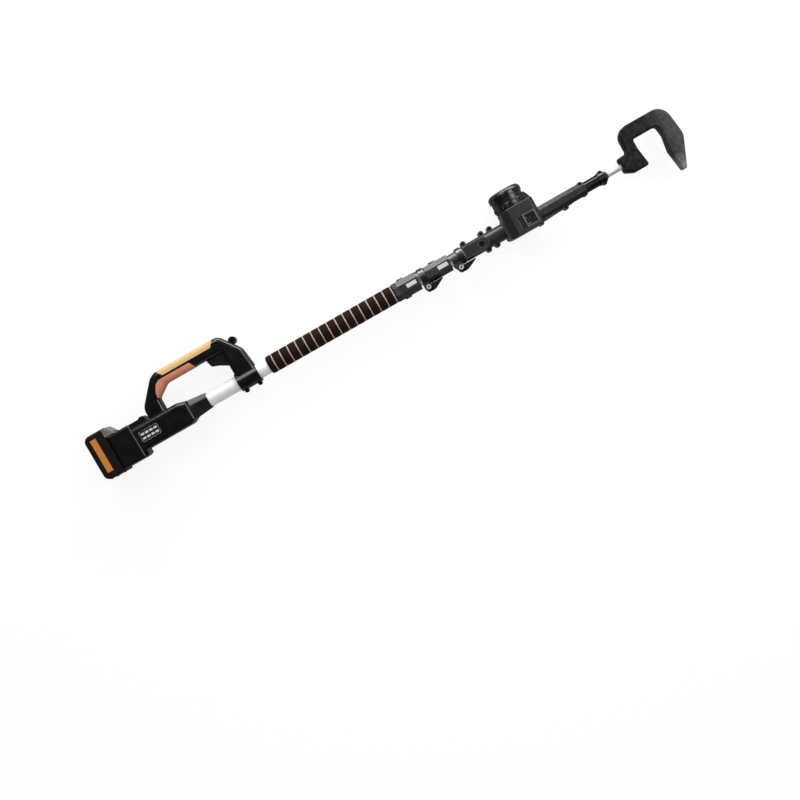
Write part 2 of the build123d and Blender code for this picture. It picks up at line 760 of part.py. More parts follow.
def screw_set(bosses):
    """Pan-head screws, driven from the left side, with a slot for the driver."""
    with BuildPart() as screws:
        for x, y, radius, half in bosses:
            with BuildSketch(Plane.XY.offset(1 - half)):
                with Locations((x, y)):
                    Circle(SCREW_D / 2)
            extrude(amount=2 * half - 1 - SCREW_HEAD_H)
            with BuildSketch(Plane.XY.offset(half - SCREW_HEAD_H)):
                with Locations((x, y)):
                    Circle(SCREW_HEAD_D / 2)
            extrude(amount=0.8 * SCREW_HEAD_H)
            with BuildSketch(Plane.XY.offset(half - 0.6 * SCREW_HEAD_H)):
                with Locations((x, y)):
                    Rectangle(0.7 * SCREW_HEAD_D, 0.18 * SCREW_HEAD_D)
                    Rectangle(0.18 * SCREW_HEAD_D, 0.7 * SCREW_HEAD_D)
            extrude(amount=SCREW_HEAD_H, mode=Mode.SUBTRACT)
    return screws.part


insert_pockets = [loop_proud & insert_prism(name, 0) - loop_core for name in insert_outlines]
handle_screw_holes = screw_holes(handle_bosses)
panel_pocket = panel_face(0)
panel_plate = panel_face(SNUG)

with BuildPart() as handle_body:
    add(handle_form.part)
    add(handle_hollow.part, mode=Mode.SUBTRACT)
    add(handle_screw_holes, mode=Mode.SUBTRACT)
    add(insert_pockets, mode=Mode.SUBTRACT)
    for side in (1, -1):
        with BuildSketch(Plane.XY.offset(side * panel_floor)):
            add(panel_pocket)
        extrude(amount=side * HOUSING_WIDTH, mode=Mode.SUBTRACT)

with BuildPart() as handle_shell_left:
    add(handle_body.part)
    split(bisect_by=Plane.XY, keep=Keep.TOP)
handle_shell_left.part.label = "handle_shell_left"
export_step(handle_shell_left.part, "parts/handle_shell_left.step")

with BuildPart() as handle_shell_right:
    add(handle_body.part)
    split(bisect_by=Plane.XY, keep=Keep.BOTTOM)
handle_shell_right.part.label = "handle_shell_right"
export_step(handle_shell_right.part, "parts/handle_shell_right.step")

for name in insert_outlines:
    with BuildPart() as insert:
        add(loop_proud)
        add(insert_prism(name, SNUG), mode=Mode.INTERSECT)
        add(loop_core, mode=Mode.SUBTRACT)
    insert.part.label = name
    export_step(insert.part, f"parts/{name}.step")

louvre_end = panel_x + PANEL_LENGTH - PANEL_HEIGHT / 4
with BuildPart() as side_panels:
    for side in (1, -1):
        with BuildSketch(Plane.XY.offset(side * panel_floor)):
            add(panel_plate)
        extrude(amount=side * (PANEL_THICK + PANEL_PROUD))
        with BuildSketch(Plane.XY.offset(side * (HOUSING_WIDTH / 2 + PANEL_PROUD))):
            with Locations((louvre_end - LOUVRE_COUNT * LOUVRE_PITCH / 2, PANEL_RISE)):
                with GridLocations(LOUVRE_PITCH, 1, LOUVRE_COUNT, 1):
                    SlotOverall(0.66 * PANEL_HEIGHT, LOUVRE_WIDTH, rotation=90)
        extrude(amount=-side * 0.6 * PANEL_THICK, mode=Mode.SUBTRACT)
side_panels.part.label = "side_panels"
export_step(side_panels.part, "parts/side_panels.step")

handle_screws = screw_set(handle_bosses)
handle_screws.label = "handle_screws"
export_step(handle_screws, "parts/handle_screws.step")

with BuildPart() as neck_ferrule:
    for x, size in ((neck_x, NECK_REAR), (neck_x + NECK_LENGTH, NECK_FRONT)):
        with BuildSketch(Plane.YZ.offset(x)):
            RegularPolygon(size / 2, 8, major_radius=False, rotation=22.5)
    loft()
    with BuildSketch(Plane.YZ.offset(neck_x)):
        Circle(bore_half(POLE_OD))
    extrude(amount=NECK_LENGTH, mode=Mode.SUBTRACT)
neck_ferrule.part.label = "neck_ferrule"
export_step(neck_ferrule.part, "parts/neck_ferrule.step")

terminal_width = BLADE_COUNT * BLADE_PITCH + BLADE_PITCH
with BuildPart() as terminal_block:
    with BuildSketch(up_plane(slot_floor)):
        with Locations((slot_end, 0)):
            Rectangle(DECK_RISE - DECK_STEP, terminal_width, align=(Align.MAX, Align.CENTER))
    extrude(amount=TERMINAL_HEIGHT)
terminal_block.part.label = "terminal_block"
export_step(terminal_block.part, "parts/terminal_block.step")

with BuildPart() as terminal_blades:
    with BuildSketch(up_plane(terminal_top)):
        with Locations([(blade_x, z) for z in blade_spots]):
            Rectangle(BLADE_WIDTH, BLADE_THICK)
    extrude(amount=TERMINAL_GAP + BLADE_LENGTH)
terminal_blades.part.label = "terminal_blades"
export_step(terminal_blades.part, "parts/terminal_blades.step")

board_x = panel_x + PANEL_HEIGHT / 4
board_z = -housing_cavity_half / 2
with BuildPart() as control_board:
    with BuildSketch(Plane.XY.offset(board_z)):
        with Locations((board_x, housing_cavity_low)):
            Rectangle(
                BOARD_LENGTH,
                housing_cavity_top - housing_cavity_low,
                align=(Align.MIN, Align.MIN),
            )
    extrude(amount=BOARD_THICK)
    with BuildSketch(Plane.XY.offset(board_z + BOARD_THICK)):
        with Locations((board_x + 0.3 * BOARD_LENGTH, housing_middle)):
            Rectangle(0.25 * BOARD_LENGTH, 0.4 * HOUSING_TOP)
    extrude(amount=4 * BOARD_THICK)
    with BuildSketch(Plane.XY.offset(board_z + BOARD_THICK)):
        with Locations((board_x + 0.7 * BOARD_LENGTH, housing_middle)):
            with GridLocations(0.16 * BOARD_LENGTH, 0.6 * HOUSING_TOP, 2, 2):
                Circle(0.06 * BOARD_LENGTH)
    extrude(amount=8 * BOARD_THICK)
control_board.part.label = "control_board"
export_step(control_board.part, "parts/control_board.step")

# Trigger: hinged in the front leg, squeezed up into the bar
trigger_x = leg_x - TRIGGER_REACH
trigger_low = bar_low - TRIGGER_DROP
trigger_high = bar_low + TRIGGER_HIDDEN
trigger_outline = [
    (trigger_x, trigger_high),
    (trigger_x, bar_low - 0.12 * TRIGGER_DROP),
    (trigger_x + 0.1 * TRIGGER_REACH, bar_low - 0.5 * TRIGGER_DROP),
    (trigger_x + 0.5 * TRIGGER_REACH, bar_low - 0.66 * TRIGGER_DROP),
    (leg_x + 1, trigger_low),
    (leg_x + 12, trigger_low + 4),
    (leg_x + 14, pivot_y + 4),
    (leg_x - 4, trigger_high),
]
trigger_slab = slab(trigger_outline, [2.5, 8, 6, 10, 3, 5, 5, 2.5], TRIGGER_WIDTH / 2, 2.0)
with BuildPart() as trigger:
    add(trigger_slab)
    with BuildSketch(Plane.XY.offset(-TRIGGER_WIDTH)):
        with Locations((pivot_x, pivot_y)):
            Circle(TRIGGER_PIN_D / 2 + RUN_FIT)
    extrude(amount=2 * TRIGGER_WIDTH, mode=Mode.SUBTRACT)
trigger.part.label = "trigger"
export_step(trigger.part, "parts/trigger.step")

with BuildPart() as trigger_pin:
    with BuildSketch():
        with Locations((pivot_x, pivot_y)):
            Circle(TRIGGER_PIN_D / 2)
    extrude(amount=pin_half, both=True)
trigger_pin.part.label = "trigger_pin"
export_step(trigger_pin.part, "parts/trigger_pin.step")

switch_x = trigger_x + 0.1 * TRIGGER_REACH
with BuildPart() as trigger_switch:
    with BuildSketch():
        with Locations((switch_x, switch_low)):
            Rectangle(SWITCH_LENGTH, SWITCH_HEIGHT, align=(Align.MIN, Align.MIN))
    extrude(amount=TRIGGER_WIDTH / 2, both=True)
trigger_switch.part.label = "trigger_switch"
export_step(trigger_switch.part, "parts/trigger_switch.step")

with BuildPart() as trigger_spring:
    with BuildSketch(up_plane(trigger_high)):
        with Locations((trigger_x + 0.6 * TRIGGER_REACH, 0)):
            Circle(SPRING_D / 2)
            Circle(SPRING_D / 2 - SPRING_WIRE, mode=Mode.SUBTRACT)
    extrude(amount=switch_low - trigger_high)
trigger_spring.part.label = "trigger_spring"
export_step(trigger_spring.part, "parts/trigger_spring.step")

# Pole: three tubes inside each other, each of the inner two with a plastic guide at its rear end
outer_end = lower_x + SLEEVE_LENGTH - SLEEVE_STOP
middle_x = tube_x + POLE_NEST
middle_end = upper_x + SLEEVE_LENGTH - SLEEVE_STOP
inner_x = middle_x + POLE_NEST
inner_end = head_x + SOCKET_REACH
bolt_x = head_x + RECESS_SETBACK

with BuildPart() as outer_tube:
    with BuildSketch(Plane.YZ.offset(tube_x)):
        Circle(POLE_OD / 2)
        Circle(POLE_OD / 2 - POLE_WALL, mode=Mode.SUBTRACT)
    extrude(amount=outer_end - tube_x)
outer_tube.part.label = "outer_tube"
export_step(outer_tube.part, "parts/outer_tube.step")

with BuildPart() as middle_tube:
    with BuildSketch(Plane.YZ.offset(middle_x)):
        Circle(middle_od / 2)
        Circle(middle_od / 2 - POLE_WALL, mode=Mode.SUBTRACT)
    extrude(amount=middle_end - middle_x)
middle_tube.part.label = "middle_tube"
export_step(middle_tube.part, "parts/middle_tube.step")

with BuildPart() as inner_tube:
    with BuildSketch(Plane.YZ.offset(inner_x)):
        Circle(inner_od / 2)
        Circle(inner_od / 2 - POLE_WALL, mode=Mode.SUBTRACT)
    extrude(amount=inner_end - inner_x)
    with BuildSketch(Plane.XY.offset(-inner_od)):
        with Locations((bolt_x, 0)):
            Circle(bore_half(BOLT_D))
    extrude(amount=2 * inner_od, mode=Mode.SUBTRACT)
inner_tube.part.label = "inner_tube"
export_step(inner_tube.part, "parts/inner_tube.step")

guides = (("middle_guide", middle_x, middle_od, POLE_OD), ("inner_guide", inner_x, inner_od, middle_od))
for name, x, tube_od, round_od in guides:
    with BuildPart() as guide:
        with BuildSketch(Plane.YZ.offset(x - GUIDE_LENGTH)):
            Circle(round_od / 2 - POLE_WALL - RUN_FIT)
        extrude(amount=GUIDE_LENGTH)
        with BuildSketch(Plane.YZ.offset(x)):
            Circle(tube_od / 2 - POLE_WALL - SNUG)
        extrude(amount=GUIDE_SPIGOT)
        with BuildSketch(Plane.YZ.offset(x - GUIDE_LENGTH)):
            Circle(tube_od / 2 - 2 * POLE_WALL)
        extrude(amount=GUIDE_LENGTH + GUIDE_SPIGOT, mode=Mode.SUBTRACT)
    guide.part.label = name
    export_step(guide.part, f"parts/{name}.step")

grip_end = grip_x + GRIP_LENGTH
ring_middle = GRIP_OD / 2 - RING_DEPTH / 2
ring_pitch = (GRIP_LENGTH - RING_FIRST - RING_LAST) / (RING_COUNT - 1)
ring_spots = [(grip_x + RING_FIRST + i * ring_pitch, ring_middle) for i in range(RING_COUNT)]
with BuildPart() as foam_grip:
    with BuildSketch():
        with BuildLine():
            FilletPolyline(
                (grip_x, bore_half(POLE_OD)),
                (grip_x, GRIP_OD / 2 - RING_DEPTH),
                (grip_x + GRIP_TAPER, GRIP_OD / 2),
                (grip_end, GRIP_OD / 2),
                (grip_end, bore_half(POLE_OD)),
                radius=[0, RING_DEPTH, 4 * GRIP_TAPER, RING_DEPTH / 2, 0],
                close=True,
            )
        make_face()
        with Locations(ring_spots):
            Rectangle(RING_WIDTH, RING_DEPTH, mode=Mode.SUBTRACT)
    revolve(axis=Axis.X)
foam_grip.part.label = "foam_grip"
export_step(foam_grip.part, "parts/foam_grip.step")

with BuildPart() as grip_rings:
    with BuildSketch():
        with Locations(ring_spots):
            Rectangle(RING_WIDTH, RING_DEPTH)
    revolve(axis=Axis.X)
grip_rings.part.label = "grip_rings"
export_step(grip_rings.part, "parts/grip_rings.step")

# Two cam clamps: a sleeve on the end of one tube, and a slit collar that a cam lever locks on the next
lug_in = CAM_WIDTH / 2 + BODY_GAP
lug_out = lug_in + LUG_THICK
cam_reach = CAM_RADIUS + CAM_LIFT
lower_rest = middle_od / 2 + SLEEVE_WALL
upper_rest = max(SOCKET_D / 2, lower_rest + BAND_PROUD - BAND_THICK)
clamps = (
    ("lower", lower_x, POLE_OD, middle_od, LOWER_COLLAR, LOWER_PIVOT, LOWER_NECK, lower_rest, -1),
    ("upper", upper_x, middle_od, inner_od, UPPER_COLLAR, UPPER_PIVOT, UPPER_NECK, upper_rest, 0),
)
for level, x, seat_od, slide_od, collar_length, pivot, neck_wall, rest_r, bump_side in clamps:
    flats = seat_od + 2 * SLEEVE_WALL
    bump_x = x + BUMP_SETBACK
    bump_top = flats / 2 + BUMP_RISE
    slit_x = x + SLEEVE_LENGTH
    collar_x = slit_x + SLIT_WIDTH
    band_outer = flats / 2 + BAND_PROUD
    band_inner = band_outer - BAND_THICK
    slide_half = slide_od / 2 + BODY_GAP
    band_x = collar_x + collar_length - BAND_THICK - BAND_WIDTH
    pin_x = collar_x + pivot
    pin_y = -slide_half - cam_reach
    lever_top = -rest_r - LEVER_GAP
    lug_foot = min(pivot + LUG_RADIUS, collar_length)

    with BuildPart() as clamp_body:
        with BuildSketch(Plane.YZ.offset(x)):
            RegularPolygon(flats / 2, 8, major_radius=False, rotation=22.5)
        extrude(amount=SLEEVE_LENGTH)
        chamfer(clamp_body.faces().sort_by(Axis.X)[0].edges(), length=BAND_THICK)
        with BuildSketch(Plane.YZ.offset(slit_x)):
            Circle(slide_half + neck_wall)
        extrude(amount=SLIT_WIDTH + collar_length)
        with BuildSketch(Plane.YZ.offset(band_x - BAND_THICK)):
            Circle(band_inner)
        extrude(amount=BAND_WIDTH + 2 * BAND_THICK)
        with BuildSketch():
            with BuildLine():
                FilletPolyline(
                    (bump_x, bump_side * bump_top),
                    (bump_x + BUMP_D / 2, bump_side * bump_top),
                    (bump_x + BUMP_D / 2, bump_top),
                    (bump_x, bump_top),
                    radius=[0, 0.9 * BUMP_RISE, 0.9 * BUMP_RISE, 0],
                    close=True,
                )
            make_face()
        revolve(axis=Axis((bump_x, 0, 0), (0, 1, 0)))
        for side in (lug_in, -lug_out):
            with BuildSketch(Plane.XY.offset(side)):
                with Locations((pin_x, pin_y)):
                    Circle(LUG_RADIUS)
                with Locations((collar_x, -slide_half / 2)):
                    Rectangle(lug_foot, slide_half / 2 + LUG_RADIUS / 2, align=(Align.MIN, Align.MAX))
                make_hull()
            extrude(amount=LUG_THICK)
        with BuildSketch(Plane.YZ.offset(x)):
            Circle(bore_half(seat_od))
        extrude(amount=SLEEVE_LENGTH - SLEEVE_STOP, mode=Mode.SUBTRACT)
        with BuildSketch(Plane.YZ.offset(x)):
            Circle(slide_half)
        extrude(amount=clamp_length + collar_length, mode=Mode.SUBTRACT)
        with BuildSketch():
            with Locations((slit_x, 0)):
                Rectangle(SLIT_WIDTH, flats, align=(Align.MIN, Align.MAX))
        extrude(amount=flats, both=True, mode=Mode.SUBTRACT)
        with BuildSketch():
            with Locations((slit_x, -slide_half / 2)):
                Rectangle(pin_x + cam_reach + BODY_GAP - slit_x, flats, align=(Align.MIN, Align.MAX))
        extrude(amount=lug_in, both=True, mode=Mode.SUBTRACT)
        with BuildSketch():
            with Locations((pin_x, pin_y)):
                Circle(bore_half(PIN_D))
        extrude(amount=lug_out, both=True, mode=Mode.SUBTRACT)
    clamp_body.part.label = f"{level}_clamp"
    export_step(clamp_body.part, f"parts/{level}_clamp.step")

    with BuildPart() as band:
        with BuildSketch(Plane.YZ.offset(band_x)):
            Circle(band_outer)
            Circle(band_inner, mode=Mode.SUBTRACT)
            with Locations((-flats / 4, 0)):
                Rectangle(flats, 2 * flats, align=(Align.MAX, Align.CENTER), mode=Mode.SUBTRACT)
        extrude(amount=BAND_WIDTH)
    band.part.label = f"{level}_clamp_band"
    export_step(band.part, f"parts/{level}_clamp_band.step")

    with BuildPart() as badge:
        with BuildSketch(Plane.XY.offset(flats / 2)):
            with Locations((x + BADGE_SETBACK + BADGE_LENGTH / 2, BADGE_THICK)):
                RectangleRounded(BADGE_LENGTH, BADGE_HEIGHT, BADGE_THICK)
        extrude(amount=BADGE_THICK)
    badge.part.label = f"{level}_clamp_badge"
    export_step(badge.part, f"parts/{level}_clamp_badge.step")

    with BuildPart() as lever_pin:
        with BuildSketch(Plane.XY.offset(-lug_out)):
            with Locations((pin_x, pin_y)):
                Circle(PIN_D / 2)
        extrude(amount=2 * lug_out)
        with BuildSketch(Plane.XY.offset(lug_out)):
            with Locations((pin_x, pin_y)):
                Circle(PIN_HEAD_D / 2)
        extrude(amount=PIN_HEAD_H)
        with BuildSketch(Plane.XY.offset(-lug_out - PIN_HEAD_H)):
            with Locations((pin_x, pin_y)):
                RegularPolygon(PIN_HEAD_D / 2, 6)
        extrude(amount=PIN_HEAD_H)
    lever_pin.part.label = f"{level}_lever_pin"
    export_step(lever_pin.part, f"parts/{level}_lever_pin.step")

    wide_x = pin_x + max(CAM_RADIUS, LUG_RADIUS) + BODY_GAP
    belly_y = pin_y - LEVER_BELLY
    with BuildPart() as lever:
        with BuildSketch():
            with Locations((pin_x, pin_y + CAM_LIFT)):
                Circle(CAM_RADIUS)
            with BuildLine():
                FilletPolyline(
                    (pin_x, lever_top),
                    (pin_x + LEVER_LENGTH, lever_top),
                    (pin_x + LEVER_LENGTH, lever_top - LEVER_TIP),
                    (pin_x + 0.35 * LEVER_LENGTH, belly_y),
                    (pin_x - 2, belly_y),
                    (pin_x - 6.5, pin_y - 0.55 * LEVER_BELLY),
                    radius=[0, 1.0, 1.2, 12.0, 6.0, 1.0],
                    close=True,
                )
            make_face()
        extrude(amount=LEVER_WIDTH / 2, both=True)
        for side in (CAM_WIDTH / 2, -LEVER_WIDTH / 2):
            with BuildSketch(Plane.XY.offset(side)):
                with Locations((wide_x, pin_y)):
                    Rectangle(LEVER_LENGTH, 2 * LEVER_LENGTH, align=(Align.MAX, Align.CENTER))
            extrude(amount=(LEVER_WIDTH - CAM_WIDTH) / 2, mode=Mode.SUBTRACT)
        with BuildSketch():
            with Locations((pin_x, pin_y)):
                Circle(PIN_D / 2 + RUN_FIT)
        extrude(amount=LEVER_WIDTH, both=True, mode=Mode.SUBTRACT)
    lever.part.label = f"{level}_lever"
    export_step(lever.part, f"parts/{level}_lever.step")

# Head: socket, gearbox block, nose and muzzle in one form, hollowed and parted into two halves
block_half = battery_width / 2
block_floor = HEAD_WALL - BLOCK_DROP
block_roof = BLOCK_TOP - HEAD_WALL
gear_x = motor_x + GEAR_MODULE * (GEAR_TEETH + PINION_TEETH) / 2
nose_half = NOSE_SIZE / 2
boss_r = SCREW_HEAD_D / 2 + 1.0
rod_y = -ROD_DROP
socket_boss_half = SOCKET_BOSS_WIDTH / 2
muzzle_boss_half = MUZZLE_BOSS_WIDTH / 2
flange_boss_half = FLANGE_BOSS_WIDTH / 2
muzzle_boss_y = nose_half - boss_r + SCREW_D / 2
flange_boss_y = FLANGE_D / 2 - SCREW_D / 2 + SNUG
head_bosses = [
    (head_x + SOCKET_BOSS_FIRST, SOCKET_BOSS_RISE, SOCKET_BOSS_R, socket_boss_half),
    (head_x + SOCKET_BOSS_REAR, SOCKET_BOSS_RISE, SOCKET_BOSS_R, socket_boss_half),
    (head_x + SOCKET_BOSS_FRONT, SOCKET_BOSS_RISE, SOCKET_BOSS_R, socket_boss_half),
    (head_x + SOCKET_BOSS_REAR, -SOCKET_BOSS_DROP, SOCKET_BOSS_R, socket_boss_half),
    (head_x + SOCKET_BOSS_FRONT, -SOCKET_BOSS_DROP, SOCKET_BOSS_R, socket_boss_half),
    (nose_x - BLOCK_BOSS, 1 - BLOCK_DROP, boss_r, BLOCK_BOSS_WIDTH / 2),
    (nose_x + NOSE_BOSS, rod_y - nose_half - 1, NOSE_BOSS_R, NOSE_BOSS_WIDTH / 2),
    (muzzle_x - MUZZLE_BOSS, rod_y + muzzle_boss_y, boss_r, muzzle_boss_half),
    (muzzle_x - MUZZLE_BOSS, rod_y - muzzle_boss_y, boss_r, muzzle_boss_half),
    (seal_x - FLANGE_BOSS, rod_y + flange_boss_y, boss_r, flange_boss_half),
    (seal_x - FLANGE_BOSS, rod_y - flange_boss_y, boss_r, flange_boss_half),
]
flare_outline = [
    (block_x + HEAD_WALL - 1, 1 - BLOCK_DROP),
    (block_x - FLARE_REACH, 1 - BLOCK_DROP),
    (block_x - FLARE_REACH, FLARE_RISE),
    (block_x + HEAD_WALL - 1, FLARE_CREST),
]
keel_outline = [
    (nose_x - HEAD_WALL + 1, rod_y - nose_half + 1),
    (nose_x - HEAD_WALL + 1, 1 - BLOCK_DROP),
    (nose_x + KEEL_LENGTH, rod_y - nose_half - 1),
    (nose_x + KEEL_LENGTH, rod_y - nose_half + 1),
]
flare_half = block_half - BLOCK_REAR_CHAMFER - BLOCK_EDGE
flare_slab = slab(flare_outline, [0, FLARE_REACH, 3, 0], flare_half, 0)
keel_slab = slab(keel_outline, 0, KEEL_WIDTH / 2, 0)


def block_outline(inset):
    """Plan of the gearbox block: a rectangle with long chamfers at its rear and short ones in front."""
    rear = block_x + inset
    front = nose_x - inset
    half = block_half - inset
    return [
        (rear, half - BLOCK_REAR_CHAMFER),
        (rear + BLOCK_REAR_CHAMFER, half),
        (front - BLOCK_FRONT_CHAMFER, half),
        (front, half - BLOCK_FRONT_CHAMFER),
        (front, BLOCK_FRONT_CHAMFER - half),
        (front - BLOCK_FRONT_CHAMFER, -half),
        (rear + BLOCK_REAR_CHAMFER, -half),
        (rear, BLOCK_REAR_CHAMFER - half),
    ]


with BuildPart() as block_form:
    with BuildSketch(up_plane(-BLOCK_DROP)):
        with BuildLine():
            Polyline(*block_outline(0), close=True)
        make_face()
    extrude(amount=BLOCK_TOP + BLOCK_DROP)
    fillet(block_form.edges(), radius=BLOCK_EDGE)

with BuildPart() as head_form:
    add(block_form.part)
    add(flare_slab)
    add(keel_slab)
    with BuildSketch(Plane.YZ.offset(head_x)):
        Circle(SOCKET_D / 2)
    extrude(amount=BLOCK_SETBACK + BLOCK_REAR_CHAMFER)
    with BuildSketch():
        with Locations((head_x, 0)):
            Rectangle(SOCKET_LENGTH - PAD_HEIGHT / 2, PAD_HEIGHT, align=(Align.MIN, Align.CENTER))
        with Locations((head_x + SOCKET_LENGTH - PAD_HEIGHT / 2, 0)):
            Circle(PAD_HEIGHT / 2)
    extrude(amount=PAD_WIDTH / 2, both=True)
    with BuildSketch(Plane.YZ.offset(nose_x - BLOCK_EDGE)):
        with Locations((rod_y, 0)):
            RegularPolygon(nose_half, 8, major_radius=False, rotation=22.5)
    extrude(amount=NOSE_LENGTH + BLOCK_EDGE)
    with BuildSketch(Plane.YZ.offset(muzzle_x)):
        with Locations((rod_y, 0)):
            Circle(MUZZLE_D / 2)
            with PolarLocations(MUZZLE_D / 2, MUZZLE_RIBS):
                Rectangle(2 * MUZZLE_RIB, MUZZLE_RIB)
    extrude(amount=MUZZLE_LENGTH)
    with BuildSketch(Plane.YZ.offset(flange_x)):
        with Locations((rod_y, 0)):
            Circle(FLANGE_D / 2)
    extrude(amount=FLANGE_LENGTH)
    for x, y, radius, half in head_bosses:
        with BuildSketch():
            with Locations((x, y)):
                Circle(radius)
        extrude(amount=half, both=True)

window_x = nose_x - WINDOW_SETBACK
notch_x = window_x - BEZEL_WIDTH / 2 - NOTCH_WIDTH / 2 + GROOVE
head_screw_holes = screw_holes(head_bosses)
with BuildPart() as head_body:
    add(head_form.part)
    with BuildSketch(up_plane(block_floor)):
        with BuildLine():
            Polyline(*block_outline(HEAD_WALL), close=True)
        make_face()
    extrude(amount=block_roof - block_floor, mode=Mode.SUBTRACT)
    with BuildSketch(Plane.YZ.offset(head_x)):
        Circle(bore_half(inner_od))
    extrude(amount=SOCKET_REACH, mode=Mode.SUBTRACT)
    with BuildSketch(Plane.YZ.offset(head_x)):
        Circle(inner_od / 2 - POLE_WALL)
    extrude(amount=BLOCK_SETBACK + 2 * HEAD_WALL, mode=Mode.SUBTRACT)
    with BuildSketch(Plane.YZ.offset(nose_x - 2 * HEAD_WALL)):
        with Locations((rod_y, 0)):
            Circle(BUSH_D / 2)
    extrude(amount=seal_x - nose_x + 2 * HEAD_WALL, mode=Mode.SUBTRACT)
    with BuildSketch(up_plane(block_roof - 1)):
        with Locations((motor_x, 0)):
            Circle(BEARING_D)
    extrude(amount=HEAD_WALL + 2, mode=Mode.SUBTRACT)
    with BuildSketch():
        with Locations((bolt_x, 0)):
            Circle(bore_half(BOLT_D))
    extrude(amount=PAD_WIDTH, both=True, mode=Mode.SUBTRACT)
    for side in (1, -1):
        with BuildSketch(Plane.XY.offset(side * (PAD_WIDTH / 2 - RECESS_DEPTH))):
            with Locations((bolt_x, 0)):
                Circle(RECESS_D / 2)
        extrude(amount=side * PAD_WIDTH, mode=Mode.SUBTRACT)
        with BuildSketch(Plane.XY.offset(side * (block_half - 2 * HEAD_WALL))):
            with Locations((window_x, WINDOW_RISE)):
                Rectangle(WINDOW_SIZE, WINDOW_SIZE)
        extrude(amount=side * 3 * HEAD_WALL, mode=Mode.SUBTRACT)
        with BuildSketch(Plane.XY.offset(side * (block_half - GROOVE))):
            with Locations((window_x, WINDOW_RISE)):
                Rectangle(BEZEL_WIDTH, BEZEL_HEIGHT)
                Rectangle(BEZEL_WIDTH - 2 * GROOVE, BEZEL_HEIGHT - 2 * GROOVE, mode=Mode.SUBTRACT)
        extrude(amount=side * HEAD_WALL, mode=Mode.SUBTRACT)
        with BuildSketch(Plane.XY.offset(side * (block_half - NOTCH_DEPTH))):
            with Locations((notch_x, WINDOW_RISE)):
                RectangleRounded(NOTCH_WIDTH, NOTCH_HEIGHT, NOTCH_WIDTH / 4)
        extrude(amount=side * HEAD_WALL, mode=Mode.SUBTRACT)
    add(head_screw_holes, mode=Mode.SUBTRACT)

with BuildPart() as head_shell_left:
    add(head_body.part)
    split(bisect_by=Plane.XY, keep=Keep.TOP)
head_shell_left.part.label = "head_shell_left"
export_step(head_shell_left.part, "parts/head_shell_left.step")

with BuildPart() as head_shell_right:
    add(head_body.part)
    split(bisect_by=Plane.XY, keep=Keep.BOTTOM)
head_shell_right.part.label = "head_shell_right"
export_step(head_shell_right.part, "parts/head_shell_right.step")

head_screws = screw_set(head_bosses)
head_screws.label = "head_screws"
export_step(head_screws, "parts/head_screws.step")

bolt_half = PAD_WIDTH / 2 - RECESS_DEPTH
with BuildPart() as socket_bolt:
    with BuildSketch():
        with Locations((bolt_x, 0)):
            Circle(BOLT_D / 2)
    extrude(amount=bolt_half, both=True)
    with BuildSketch(Plane.XY.offset(bolt_half)):
        with Locations((bolt_x, 0)):
            Circle(BOLT_D)
            RegularPolygon(BOLT_D / 2, 6, mode=Mode.SUBTRACT)
    extrude(amount=RECESS_DEPTH)
    with BuildSketch(Plane.XY.offset(-bolt_half)):
        with Locations((bolt_x, 0)):
            RegularPolygon(BOLT_D, 6)
    extrude(amount=-RECESS_DEPTH)
socket_bolt.part.label = "socket_bolt"
export_step(socket_bolt.part, "parts/socket_bolt.step")

hole_pitch = (WINDOW_SIZE - GRILLE_BAR) / GRILLE_HOLES
with BuildPart() as vent_grilles:
    for side in (1, -1):
        with BuildSketch(Plane.XY.offset(side * (block_half - GROOVE))):
            with Locations((window_x, WINDOW_RISE)):
                Rectangle(WINDOW_SIZE, WINDOW_SIZE)
                with GridLocations(hole_pitch, hole_pitch, GRILLE_HOLES, GRILLE_HOLES):
                    Rectangle(hole_pitch - GRILLE_BAR, hole_pitch - GRILLE_BAR, mode=Mode.SUBTRACT)
        extrude(amount=-side * GRILLE_THICK)
vent_grilles.part.label = "vent_grilles"
export_step(vent_grilles.part, "parts/vent_grilles.step")

